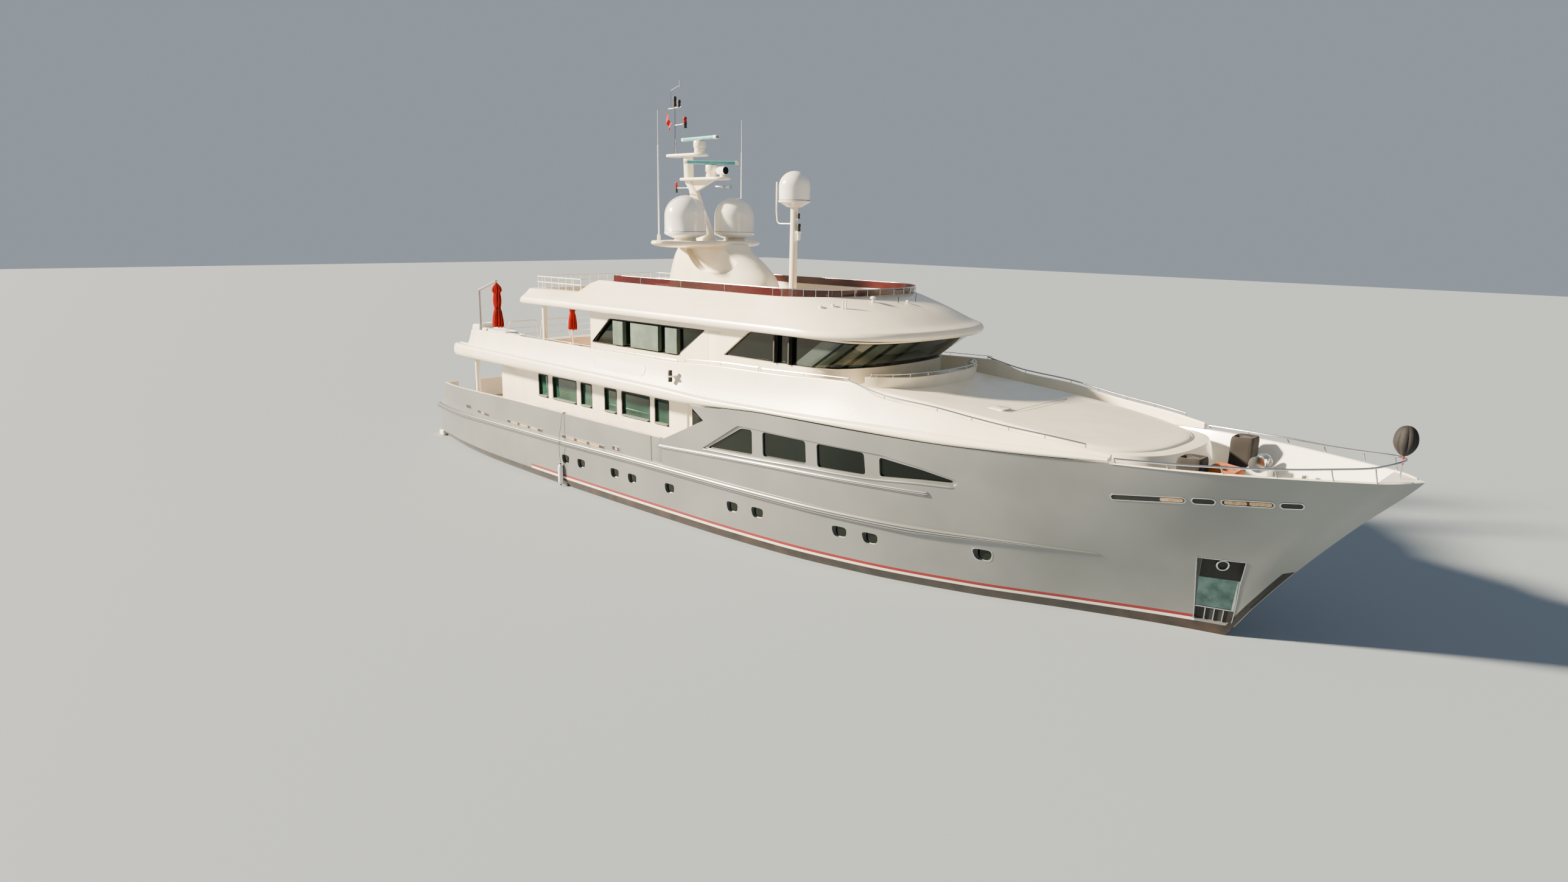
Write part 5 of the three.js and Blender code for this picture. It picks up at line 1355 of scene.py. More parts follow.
line = raised(plan(3000, 7140, 2820, 1900, 0, 2.6, 60), RAIL_Z)
line = line[line[:, 0] > 6200]
line = np.concatenate([[(6110, line[0, 1], 5750)], line, [(6110, line[-1, 1], 5750)]])
uprights = [rod((x - 10, y * 0.997, 5730), (x, y, RAIL_Z), 14, sides=10) for x, y, _ in line[4:-4:9]]
piece("bridge_wall_rail", [tube(rounded(line, 50), 21, 12), *uprights], stainless)

# %% [markdown]
# ## CAD pieces whose shape is right
# Flat walls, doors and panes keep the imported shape. A copy of the node gets a fine bevel, because it
# is the edge that catches the light.

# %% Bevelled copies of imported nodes
def body_name(node):
    """The body that a node rides on."""
    return frame["nodes"][node].parent.name.removeprefix("body:")


def box_of(node):
    """A node's box."""
    return np.array(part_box(node)) / MM


def eased(node, finish, width, crease=35):
    """A bevelled copy of a node, which it replaces."""
    made = object_with(node + "_finished", frame["nodes"][node].data.copy())
    changed(made, "WELD", merge_threshold=1e-5)
    changed(made, "DECIMATE", decimate_type="DISSOLVE", angle_limit=math.radians(0.5))
    bevelled(made, width)
    return dress(made, finish, body_name(node), [node], crease)


PAIRS = [
    ("boarding_gate", plain_topcoat, 8), ("propeller", bronze, 4), ("rudder", antifoul, 10),
    ("saloon_glass", green_glass, 2), ("saloon_door", tinted_glass, 4), ("side_door", cream, 6),
    ("upper_glass", tinted_glass, 2), ("upper_door", tinted_glass, 4), ("bridge_door", cream, 6)]
for node, finish, width in PAIRS:
    for name, _ in SIDES:
        eased(f"{node}_{name}", finish, width)
eased("swim_platform", cream, 30)
eased("saloon_house", cream, 12)

# %% [markdown]
# The saloon's windows sit in black rubber, with a pale blind behind the foot of each green pane. The
# upper house shows three curtained panes in its dark glass.

# %% Rubber round the windows, blinds and curtained panes
MAIN_WINDOWS = [
    (-10810, -10120), (-9780, -8110), (-7810, -7070), (-6250, -5490), (-5170, -3500), (-3210, -2420)]
CURTAINS = [(-5520, -4930), (-4450, -2890), (-2490, -1870)]
OUTER_GROWTH = [(-34, -16), (12, -16), (34, 16), (-12, 16)]
INNER_GROWTH = [(34, 22), (-14, 22), (-34, -22), (14, -22)]
BEHIND_GLASS = -84, -88


def house_side(x, z):
    """The houses' sides are flat."""
    return np.full(np.shape(x), float(UPPER["half"]))


def behind(aft, fore, low, high, ends, side):
    """A thin sheet just behind the glass."""
    proud, sunk = BEHIND_GLASS
    return plate(round_ended(aft, fore, low, high, ends, ends), proud, side, sunk, house_side)


for name, side in SIDES:
    seals = [rim(softened(corners(aft - 20, fore + 20, 3020, 3980), 85),
                 softened(corners(aft + 32, fore - 32, 3072, 3928), 70), 6, side, 70, house_side)
             for aft, fore in MAIN_WINDOWS]
    slanted = [softened(np.array(UPPER_WINDOW, float) + grow, 110) for grow in (OUTER_GROWTH, INNER_GROWTH)]
    seals.append(rim(*slanted, 5, side, 70, house_side))
    piece(f"window_seals_{name}", seals, black_rubber)
    blinds = [behind(aft + 40, fore - 40, 3072, 3104, 8, side) for aft, fore in MAIN_WINDOWS]
    piece(f"saloon_blinds_{name}", blinds, pale_blind)
    drawn = [behind(aft, fore, 5690, 6560, 12, side) for aft, fore in CURTAINS]
    piece(f"upper_curtained_panes_{name}", drawn, grey_curtain)

# %% [markdown]
# Slanted panes between black posts are laid on the black glass of the wheelhouse, between two heights
# of the same outline, so they lean with it.

# %% Panes of the wheelhouse
PANE_SPANS = (  # numbers of the outline's points between which a pane lies
    (23, 29), (30, 36), (37, 43), (44, 50), (51, 57), (58, 68), (69, 75), (76, 82), (83, 89), (90, 96),
    (97, 103))
SIDE_POSTS = (2810, 3440)


def wheel_pane(first, last, low=0.06, high=0.9):
    """A pane between two shares of the leaning front's height."""
    rings = []
    for share in np.linspace(low, high, 6):
        fore, z = mix(UPPER["fore_low"], UPPER["fore_high"], share), mix(UPPER["sill"], UPPER["high"], share)
        out, back = (house_plan(fore, inset, z)[first:last] for inset in (WALL - 3, WALL + 2))
        rings.append(np.concatenate([out, back[::-1]]))
    return shell(rings)


piece("wheelhouse_panes", [wheel_pane(*ends) for ends in PANE_SPANS], smoked_glass)
for name, side in SIDES:
    fronts = [round_ended(x - 26, x + 26, 5895, 6765, 6, 6) for x in SIDE_POSTS]
    piece(f"wheelhouse_posts_{name}", [plate(front, -70, side, -88, house_side) for front in fronts],
          black_rubber)

# %% [markdown]
# Teak is laid as a thin sheet that stops short of the bulwark, where the gutter runs.

# %% Teak on the decks and the swim platform
TEAK_THICK, TEAK_GAP, WALK_FROM, WALK_TO = 8, 25, -13760, 120
SUN_TEAK = (1040, 600, 2950)


def main_edge(x):
    """Half-breadth of the main deck's teak."""
    return half_breadth(x, MAIN_DECK) - PLATING - TEAK_GAP


def upper_edge(x):
    """Half-breadth of the upper deck's teak."""
    return smooth(BELT, x, HALF_COLUMN) - BULWARK_THICK - 40


def deck_sheet(aft, fore, edge, z, count=40):
    """A sheet from side to side, whose half-breadth is a function of X."""
    x = np.linspace(aft, fore, count)
    return mirrored(np.stack([row_of(x, edge(x), level) for level in (z, z + TEAK_THICK)], 1))


piece("main_aft_deck_teak", deck_sheet(-17950, WALK_FROM, main_edge, MAIN_DECK), teak)
for name, side in SIDES:
    x = np.linspace(WALK_FROM, WALK_TO, 60)
    outer, inner = main_edge(x), UPPER["half"] + TEAK_GAP
    edges = ((inner, 0), (outer, 0), (outer, TEAK_THICK), (inner, TEAK_THICK))
    walk = np.stack([row_of(x, side * y, MAIN_DECK + lift) for y, lift in edges], 1)
    piece(f"side_deck_teak_{name}", shell(walk), teak)
piece("upper_aft_deck_teak", deck_sheet(-15600, -7120, upper_edge, UPPER_DECK), teak)
piece("sun_deck_teak", stack([sun_plan(*SUN_TEAK, z, 2200) for z in (SUN_DECK, SUN_DECK + TEAK_THICK)]), teak)

low, high = box_of("swim_platform")
inset = corners(low[0] + 90, high[0] - 50, low[1] + 120, high[1] - 120)
piece("platform_teak", prism(inset, high[2] - 4, high[2] + 5), teak, soft=4)
stanchions = []
for side in (-1, 1):
    feet = np.array([(low[0] + out, side * 3050, high[2]) for out in (80, 280, 480)])
    stanchions += [rod(foot, foot + [0, 0, 640], 13, sides=12) for foot in feet]
    stanchions += [tube(feet + [0, 0, lift], 6, 8) for lift in (330, 625)]
piece("platform_stanchions", stanchions, stainless)

# %% [markdown]
# Each side door has a dark pane, which rides on it, and the passage beside it ends in a round post.

# %% A dark pane in each side door, and a post beside it
for name, side in SIDES:
    low, high = box_of(f"side_door_{name}")
    face = max(abs(low[1]), abs(high[1]))
    pane = prism(corners(low[0] + 120, high[0] - 100, low[2] + 500, high[2] - 80),
                 *spread(side, face - 4, face + 3), "y")
    piece(f"side_door_pane_{name}", pane, tinted_glass, body=body_name(f"side_door_{name}"), soft=2)
    post = rod((-1400, side * 3215, 1910), (-1400, side * 3215, 4120), 45, sides=24)
    piece(f"saloon_side_post_{name}", post, cream)

# %% [markdown]
# The upper deck is one plate between the bulwarks. Its underside rises where the hull's edge comes up.

# %% The upper deck, fitted inside the bulwarks
x = np.linspace(BELT_AFT, 12900, 120)
half = smooth(BELT, x, HALF_COLUMN) - BULWARK_THICK - 1
low = np.minimum(np.maximum(BELT_LOW, smooth(SHEER, x) + 60), UPPER_DECK - 15)
piece("upper_deck_plating", mirrored(np.stack([row_of(x, half, low), row_of(x, half, UPPER_DECK)], 1)),
      deck_cream, instead=["upper_deck"])

# %% [markdown]
# Round things are turned anew, finer than the solids. A radome is a drum with a short flared foot under
# a half-round top.

# %% Pillars and radomes
DECK_HEIGHTS = [("main", -14860, 3700, 1900.3, 4299.7), ("upper", -9830, 3420, 4660.3, 6819.7)]
RADOME = dict(x=-3800, y=1220, z=9580, radius=765, height=1510)


def dome(x, y, z, radius, height):
    """The foot and drum as shares of the radius, then a quarter of an ellipse."""
    a = np.linspace(0, np.pi / 2, 24)
    top = zip(radius * 0.985 * np.cos(a), height - radius * 0.95 * (1 - np.sin(a)))
    profile = [(0, 0), (radius * 0.5, 0), (radius * 0.62, 15), (radius * 0.96, 120), (radius, 165),
               (radius, 230), (radius * 0.985, 250), *top]
    return turned(profile, (x, y, z), 72)


for name, side in SIDES:
    for deck, x, y, low, high in DECK_HEIGHTS:
        pillar = rod((x, side * y, low), (x, side * y, high), 105, sides=40)
        piece(f"{deck}_pillar_tube_{name}", pillar, cream, instead=[f"{deck}_pillar_{name}"])
    shape = dome(RADOME["x"], side * RADOME["y"], RADOME["z"], RADOME["radius"], RADOME["height"])
    piece(f"radome_shell_{name}", shape, white, instead=[f"radome_{name}"])

# %% [markdown]
# ## The mast
# A fat oval pedestal with a recess in each side, two wings for the radomes, and a raked column
# with shelves for the radars. Each is a stack of ovals with a smooth curve through it.

# %% Pedestal
WING_Z = 9380
PEDESTAL = [  # X of its middle, half-length, half-breadth and height
    (-3150, 2880, 1080, 7120.3), (-3150, 2720, 1000, 8050), (-3330, 2350, 950, 8600),
    (-3500, 2030, 900, 8930), (-3600, 1750, 850, 9190), (-3650, 1600, 820, WING_Z)]
RECESS = [
    (-4300, 9200), (-3880, 8790), (-3430, 8480), (-2990, 8370), (-1980, 8370), (-1740, 8520), (-1650, 8740),
    (-1780, 8960), (-1900, 9200)]


def oval(x, long, wide, z, power=0.9, count=72):
    """x + long |cos a|^power and wide |sin a|^power with their signs."""
    a = round_angles(count)
    return row_of(x + long * fuller(np.cos(a), power), wide * fuller(np.sin(a), power), z)


pedestal = object_of("mast_pedestal", stack([oval(*ring) for ring in PEDESTAL], 40))
for name, side in SIDES:
    carved(pedestal, prism(softened(RECESS, 200), *spread(side, 620, 2000), "y"))

# %% [markdown]
# The wings are one smooth outline, narrower below than above. The shelves are thin plans with rounded
# edges, and each radar turns on a round gearbox.

# %% Wings, column, shelves and gearboxes
WING = [
    (-5300, 0), (-5150, 850), (-4750, 1500), (-4430, 2150), (-4240, 2460), (-3950, 2570), (-3660, 2460),
    (-3450, 2150), (-2950, 1400), (-2350, 750), (-2250, 0)]
WING_RINGS = [(0.55, -130), (0.9, -70), (1, 10), (0.99, 75), (0.955, 110)]
COLUMN = [(-4090, 600, 330, WING_Z + 50), (-4420, 380, 220, 10400), (-4720, 220, 150, 11300),
          (-4980, 200, 180, 11700), (-5050, 190, 180, 12560)]
SHELVES = [(-6080, -4040, 330, 12600), (-5250, -2860, 360, 11720)]
SHELF_RINGS = [(30, -50), (8, -38), (0, 0), (8, 38), (30, 50)]
RADARS = [("radar_upper", -4400, 13170, 1080, -5), ("radar_lower", -3750, 12290, 1010, 45)]
GEARBOX = [
    (0, -540), (190, -540), (200, -520), (200, -330), (225, -310), (232, -290), (232, -110), (215, -80),
    (70, -72), (0, -72)]
DOME_SEAT = [(0, 80), (520, 80), (470, 110), (400, 130), (400, 199.7), (0, 199.7)]

mirror_line = np.array(WING + [(x, -y) for x, y in WING[-2:0:-1]], float)
closed = np.concatenate([mirror_line, mirror_line[:1]])
wing_line = through(row_of(*closed.T, 0), 6)[:-1, :2]


def wing_at(share, lift):
    """The wings' outline drawn in towards X -3900 to a share of itself."""
    x, y = wing_line.T
    return row_of(mix(-3900, x, share), y * (share * 0.5 + 0.5), WING_Z + lift)


def shelf(aft, fore, half, z):
    """A thin plan whose inset follows a rounded edge."""
    return stack([raised(plan(aft + inset, fore - inset, half - inset, 420 - inset, 200 - inset, 2), z + lift)
                  for inset, lift in SHELF_RINGS], 12)


mast_parts = [stack([wing_at(*ring) for ring in WING_RINGS], 20),
              stack([oval(*ring, 1) for ring in COLUMN], 40), *[shelf(*place) for place in SHELVES],
              prism([(-4650, 11250), (-4750, 11700), (-3500, 11700)], -60, 60, "y"),
              *[turned(DOME_SEAT, (RADOME["x"], side * RADOME["y"], WING_Z), 48) for side in (-1, 1)],
              *[turned(GEARBOX, (x, 0, z), 40) for _, x, z, _, _ in RADARS]]
piece("mast_wings_and_column", mast_parts, cream, crease=45)
dress(pedestal, cream, instead=["mast"], crease=40)

# %% [markdown]
# A steel pole behind the column carries a yard, lamp arms and a wind vane, and a whip aerial stands on
# each wing.

# %% Poles, whips and lamps of the mast
TOP_POLE = -5820
POLES = [  # lower end, upper end, radius and upper radius; X is from the top pole
    ((0, 0, 12600), (0, 0, 14420), 42, 32), ((-370, 0, 14330), (400, 0, 14360), 22, None),
    ((0, 0, 13720), (580, 0, 13740), 24, None), ((-230, 0, 14330), (-230, 0, 15010), 14, None),
    ((-240, 0, 14980), (300, 0, 15130), 12, None), ((870, 0, 11410), (60, 0, 11420), 22, None)]
VANE_FIN = [(-5560, 15060), (-5520, 15060), (-5500, 15318), (-5550, 15318)]
WHIP = (-4300, 2050)
WHIP_FOOT = [(0, 80), (60, 80), (60, 260), (38, 330), (0, 330)]
FORE_LAMP, AFT_LAMP = TOP_POLE + 590, -5750
LAMP = [(0, 0), (1, 0), (1, 2), (0.86, 2.2), (0.86, 6), (1, 6.2), (1, 8.5), (0.8, 10), (0, 10)]


def lamp(x, low, high, radius):
    """A lamp on the centreline, in shares of its radius and tenths of its height."""
    shares, tenths = np.array(LAMP, float).T
    return turned(np.column_stack([radius * shares, (high - low) / 10 * tenths]), (x, 0, low), 28)


shift = np.array([TOP_POLE, 0, 0])
poles = [rod(shift + low, shift + high, radius, end) for low, high, radius, end in POLES]
piece("mast_poles", [*poles, prism(VANE_FIN, -8, 8, "y")], stainless)
whips = []
for side in (-1, 1):
    x, y = WHIP[0], side * WHIP[1]
    whips += [rod((x, y, WING_Z + 60), (x, y, 12800), 26, 20), rod((x, y, 12700), (x, y, 13990), 9, 6),
              turned(WHIP_FOOT, (x, y, WING_Z), 24)]
piece("whip_aerials", whips, white)
top_lamps = [lamp(TOP_POLE, 14400, 14760, 72), lamp(TOP_POLE + 250, 14350, 14620, 70)]
piece("mast_lamps", top_lamps, black_rubber)
red_lamps = [lamp(FORE_LAMP, 13790, 13988, 78), lamp(AFT_LAMP, 11440, 11636, 54)]
piece("mast_red_lamps", red_lamps, lamp_red)
dark_lamps = [lamp(FORE_LAMP, 13592, 13790, 78), lamp(AFT_LAMP, 11244, 11440, 54)]
piece("mast_dark_lamps", dark_lamps, black_rubber)

# %% [markdown]
# Two horns hang under the lower shelf, with mouths that flare as the fourth power of their length, and
# a searchlight stands on it. The radomes' shells meet in thin dark seams.

# %% Horns, searchlight, steps and seams
HORNS = [(-2820, 110, 88), (-2940, -110, 73)]  # X of the mouth, Y and the mouth's radius
HORN_NECK, HORN_AFT, LIGHT_Z = 28, -3380, 12000
DRUM = [(-3378, 90), (-3360, 130), (-3300, 146), (-3060, 148), (-3050, 150), (-2975, 150)]
STEP_HEIGHTS = range(9780, 11181, 280)
COLUMN_SIDE = [(9430, -4090, 330), (10400, -4420, 220), (11300, -4720, 150), (11700, -4980, 180)]
SEAMS = [(-3800, -1220, 9812, 763), (-3800, 1220, 9812, 763), (480, 0, 10925, 536)]

s = np.linspace(0, 1, 14)
horns = []
for fore, y, mouth in HORNS:
    line = row_of(mix(HORN_AFT, fore, s), y, mix(11440, 11420, s))
    horns += [tube(line, mix(HORN_NECK, mouth, s ** 4), 24), rod((-3250, y, 11440), (-3250, y, 11690), 18)]
piece("mast_horns", horns, stainless)

x, radius = np.array(DRUM, float).T
light = [tube(row_of(x, 0, LIGHT_Z), radius, 32), rod((-3170, 0, 11765), (-3170, 0, 11880), 85, 60, 24)]
piece("searchlight", light, white, crease=50)
piece("searchlight_glass", rod((-2976, 0, LIGHT_Z), (-2964, 0, LIGHT_Z), 134, sides=32), tinted_glass)

steps = []
for z in STEP_HEIGHTS:
    x, wide = (float(straight(COLUMN_SIDE, z, k)) for k in (1, 2))
    for side in (-1, 1):
        near, far = side * (wide - 20), side * (wide + 60)
        rung = [(x - 90, near, z), (x - 90, far, z), (x + 90, far, z), (x + 90, near, z)]
        steps.append(tube(rounded(rung, 30), 12, 8))
piece("mast_steps", steps, black_rubber)
joints = [turned([(radius - 8, 0), (radius + 2, 0), (radius + 2, 14), (radius - 8, 14)], (x, y, z), 72)
          for x, y, z, radius in SEAMS]
piece("radome_seams", joints, grey_seal)

# %% [markdown]
# A radar's scanner is a long bar with a rounded box section that thins at its ends. Its white tips are
# the same rings a little larger.

# %% Radar scanners
HALF_LONG, HALF_TALL, LIFT, TIP_GROWTH = 95, 67, 8, 1.03
for name, x, z, reach, degrees in RADARS:
    s = np.linspace(-1, 1, 61)[:, None]
    a = round_angles(20)
    taper = np.clip((1 - np.abs(s)) * 14, 0, 1) ** 0.5 * 0.25 + 0.75
    rings = row_of(s * reach, HALF_LONG * fuller(np.cos(a), 0.5) * taper,
                   LIFT + HALF_TALL * fuller(np.sin(a), 0.6) * taper)
    c, w = math.cos(math.radians(degrees)), math.sin(math.radians(degrees))
    spin = np.array([[c, w, 0], [-w, c, 0], [0, 0, 1]])
    tips = [shell(rings[ends] * [1, TIP_GROWTH, TIP_GROWTH] @ spin + (x, 0, z))
            for ends in (slice(0, 5), slice(56, 61))]
    piece(name + "_tips", tips, white, body=body_name(name), crease=50)
    spindle = rod((x, 0, z - 70), (x, 0, z - 40), 60, sides=40)
    piece(name + "_scanner", [shell(rings @ spin + (x, 0, z)), spindle], teal_plastic, body=body_name(name),
          instead=[name], crease=50)

# %% [markdown]
# Another dome stands ahead of the mast on a tapered pole with two lamps, a horn and a tall bracket.

# %% The satellite dome on its pole
DOME_POLE = 480
DOME_FOOT = [(0, 0), (240, 0), (300, 40), (500, 150), (548, 165), (550, 215), (530, 225)]
ARMS = [(9900, 230, 36), (10320, 200, 28)]
BRACKET = [
    (DOME_POLE, 0, 10150), (DOME_POLE - 790, 0, 10150), (DOME_POLE - 850, 0, 10600),
    (DOME_POLE - 850, 0, 11550)]
POLE_HORN = [(0, 0), (50, 0), (62, 40), (62, 210), (90, 240), (90, 300), (0, 300)]

a = np.linspace(0, np.pi / 2, 24)
profile = DOME_FOOT + list(zip(535 * np.cos(a), 680 + 520 * np.sin(a)))
piece("satellite_dome", turned(profile, (DOME_POLE, 0, 10700), 72), white, instead=["dome_pole"], crease=40)
pole = [rod((DOME_POLE, 0, 7120.3), (DOME_POLE, 0, 10710), 140, 125, 32),
        *[rod((DOME_POLE, 0, z), (DOME_POLE + reach, 0, z), radius) for z, reach, radius in ARMS],
        tube(rounded(BRACKET, 150), 24, 12)]
piece("dome_pole_and_bracket", pole, cream, crease=45)
pole_lamps = [lamp(DOME_POLE + 230, 9900, 10160, 66), lamp(DOME_POLE + 210, 10320, 10500, 52)]
piece("dome_pole_lamps", pole_lamps, black_rubber)
piece("dome_pole_horn", turned(POLE_HORN, (DOME_POLE + 230, 0, 9600), 28), white)

# %% [markdown]
# ## Rails
# A rail is a bar carried along a smooth path, and its posts stand on what carries them. Those of the
# bow and the upper deck are polished steel, and the others are white.

# %% Rails of the bow and the upper deck
BOW_POSTS = [(13950, 125), (15100, 140), (16200, 170), (17200, 200), (18200, 270), (18950, 350)]
BOW_NOSE = (19330, 0, 5220)
UPPER_RAIL_POSTS = [6130, 7600, 9300, 10300, 11300, 12250, 13250]


def posts(points, height, radius):
    """An upright rod on every point."""
    return [rod((x, y, z), (x, y, z + height), radius, sides=12) for x, y, z in points]


feet = [(x, float(smooth(DECK_PLAN, x)) - 60, float(smooth(SHEER, x)), tall) for x, tall in BOW_POSTS]
top = [(x, y, z + tall) for x, y, z, tall in feet]
top = [*top, BOW_NOSE, *[(x, -y, z) for x, y, z in top[::-1]]]
slanted = [rod((x + 75, side * (y + 8), z - 4), (x, side * y, z + tall), 17, sides=12)
           for x, y, z, tall in feet for side in (-1, 1)]
piece("bow_rail_tube", [tube(through(top, 8), 26, 12), *slanted], stainless, instead=["bow_rail"])

for name, side in SIDES:
    base = [(x, side * (float(smooth(BELT, x, HALF_COLUMN)) - 45), float(smooth(BELT, x, TOP_COLUMN)))
            for x in UPPER_RAIL_POSTS]
    line = [(x, y, z + (90 if k else 60)) for k, (x, y, z) in enumerate(base)]
    stand = posts([(x, y, z - 6) for x, y, z in base], 96, 16)
    piece(f"upper_rail_{name}_tube", [tube(through(line, 8), 24, 12), *stand], stainless,
          instead=[f"upper_rail_{name}"])

# %% [markdown]
# The sun deck's rail stands on evenly spaced posts. The stern rail is four frames with leaning ends and
# two bars each.

# %% Rails of the sun deck and the stern
SUN_RAIL_Z = 7462
SUN_RAIL = [(-7900, 3000), (-9400, 3080), (-10760, 3120), (-10910, 2960), (-10910, 1000)]
SUN_RAIL_TALL, SUN_RAIL_POSTS = 468, 27
STERN_RAIL_X, FRAME_TALL, FRAME_WIDE, FRAME_LEAN = -15720, 950, 1700, 155

around = row_of(*np.array(SUN_RAIL + [(x, -y) for x, y in SUN_RAIL[::-1]]).T, SUN_RAIL_Z)
bars = [tube(rounded(around + [0, 0, lift], 200), 21, 12) for lift in (SUN_RAIL_TALL, 250)]
far = distances(around)
at = np.linspace(0, far[-1], SUN_RAIL_POSTS)
places = np.column_stack([np.interp(at, far, around[:, k]) for k in range(3)])
piece("sun_deck_rail", [*bars, *posts(places, SUN_RAIL_TALL, 15)], white, instead=["sun_rail"])

frames = []
for start in range(-2 * FRAME_WIDE, 2 * FRAME_WIDE, FRAME_WIDE):
    left = [(STERN_RAIL_X, start + 15, UPPER_DECK),
            (STERN_RAIL_X, start + 15 + FRAME_LEAN, UPPER_DECK + FRAME_TALL)]
    right = [(x, 2 * start + FRAME_WIDE - y, z) for x, y, z in left[::-1]]
    frames.append(tube(rounded(left + right, 120), 26, 12))
    for height in (330, 640):
        lean = 15 + FRAME_LEAN * height / FRAME_TALL
        frames.append(rod((STERN_RAIL_X, start + lean, UPPER_DECK + height),
                          (STERN_RAIL_X, start + FRAME_WIDE - lean, UPPER_DECK + height), 18, sides=10))
piece("stern_rail_frames", frames, white, instead=["stern_rail"])

# %% [markdown]
# ## Parasols
# A furled parasol is a sheet of canvas gathered round its pole: its section is a circle whose radius
# swings in and out with the folds. Canvas is dull, with a faint sheen from its loose fibres.

# %% Canvas, and cloth with a thickness
def canvas(name, slot, light, dark, sheen=0.3):
    """A weave of fine noise, whose colour fades over areas of half a metre."""
    made, tree, shader = material(name, slot, Roughness=0.85, Sheen_Weight=sheen, Sheen_Roughness=0.5)
    uneven(tree, shader, 70.0, 0.003, 2.0)
    spot = add(tree, "TexCoord").outputs["Object"]
    fade = add(tree, "TexNoise", {"Vector": spot, "Scale": 2.5, "Detail": 4.0}).outputs["Fac"]
    drifting(tree, shader, fade, dark, light)
    return made


red_canvas = canvas("red_acrylic_canvas", "red_canvas", "#bf0c07", "#9c0905", 0.05)
white_canvas = canvas("white_cover_canvas", "white_paint", "#efede6", "#dcd9cf")
dark_canvas = canvas("black_cover_canvas", RUBBER, "#1f1a18", "#120f0e", 0.1)
rust_canvas = canvas("rust_cover_canvas", "red_canvas", "#c9681f", "#96490f", 0.1)


def cloth_area(obj):
    """Square metres of a sheet: half of what its two faces have."""
    area = np.zeros(len(obj.data.polygons))
    obj.data.polygons.foreach_get("area", area)
    return float(area.sum()) / 2


def thickened(name, points, faces, ends=(), thick=3.0):
    """A sheet given a thickness on its inner side."""
    made = object_of(name, (np.asarray(points) * MM, faces, list(ends)))
    return changed(made, "SOLIDIFY", thickness=thick * MM, offset=-1)


# %% Parasols
FURLED = [  # share of the height, and the radius of the folds there
    (0.0, 215), (0.03, 250), (0.1, 245), (0.25, 215), (0.38, 165), (0.42, 138), (0.47, 160), (0.6, 182),
    (0.7, 165), (0.755, 150), (0.81, 215), (0.87, 200), (0.93, 125), (0.97, 60), (1.0, 24)]
FOLD_DEPTH = [(0, 0.62), (0.3, 0.55), (0.42, 0.3), (0.5, 0.5), (0.9, 0.4), (1, 0.1)]
PLEATS = 10
HUNG, HUNG_LOW = (-12890, -3740), 5760
POST, DECK_FOOT = (-14330, -3740), 4660.3
TABLE, TABLE_LOW = (-13000, 0), 5410


def gathered(x, y, low, height, scale):
    """Between an inner and an outer radius the cloth runs in and out with the pleats, and each pleat is
    wrapped round the pole: angle = a + wrap x (outer - r) / outer. At the tie it is pressed flat."""
    share = np.linspace(0, 1, 56)[:, None]
    angle = round_angles(240)[None]
    outer = smooth(FURLED, share) * scale
    swell = 0.5 - 0.5 * np.cos(PLEATS * angle + 0.7 * np.sin(3 * angle))
    r = outer * (1 - straight(FOLD_DEPTH, share) * swell)
    wrapped = angle + 1.1 * (outer - r) / outer + 0.5 * share
    dip = 55 * np.clip(1 - share * 9, 0, 1) * (1 - swell) * (0.6 + 0.4 * np.cos(2 * angle))
    return row_of(x + r * np.cos(wrapped), y + r * np.sin(wrapped), low + height * share - dip)


def parasol(name, at, low, height, scale, body, instead):
    """A gathered sheet as a piece."""
    rings = gathered(*at, low, height, scale)
    made = thickened(name, rings.reshape(-1, 3), quads(*rings.shape[:2]))
    dress(made, red_canvas, body, instead, 60)
    print(name, "area", round(cloth_area(made), 2))
    return made


hanging = parasol("hanging_parasol_canvas", HUNG, HUNG_LOW, 1835, 1.0, body_name("parasol_canopy"),
                  ["parasol_canopy"])
arm = [rod((*POST, DECK_FOOT), (*POST, 7190), 50, sides=24),
       tube(rounded([(*POST, 7100), (*POST, 7190), (*HUNG, 7640)], 50), 52, 20),
       rod((*HUNG, 7560), (*HUNG, 7640), 26)]
piece("hanging_parasol_arm", arm, grey_alloy, body=body_name("parasol_post"), instead=["parasol_post"])
standing = parasol("table_parasol_canvas", TABLE, TABLE_LOW, 1740, 0.86, "vessel", ["table_parasol"])
pole = [rod((*TABLE, DECK_FOOT), (*TABLE, 7130), 28), rod((*TABLE, DECK_FOOT), (*TABLE, 4750), 255, 240, 32)]
piece("table_parasol_pole", pole, cream)
tie = turned([(118, 0), (140, 5), (142, 34), (118, 40)], (*HUNG, 6505), 40)
piece("parasol_tie", tie, black_canvas, body=body_name("parasol_canopy"))
min(9.0, cloth_area(hanging))
min(6.7, cloth_area(standing))

# %% [markdown]
# ## Covers
# Canvas covers lie over the seats and the foredeck gear: a sheet over a box, which sags between its
# corners, pulls in below its edge and hangs in soft folds to its hem.

# %% Covers over the seats
HEM_RINGS, EDGE_RINGS = 14, 9
COVERS = [  # name, low and high corner on the port side, bulge, seed and lean
    ("pile", (-15440, 2770, 4700), (-14720, 3600, 5690), 0.08, 3, 0.0),
    ("long", (-14780, 2870, 4720), (-12540, 3590, 5560), 0.0, 5, 0.03),
    ("narrow", (-12560, 3235, 4720), (-11470, 3590, 5540), 0.0, 8, 0.05)]


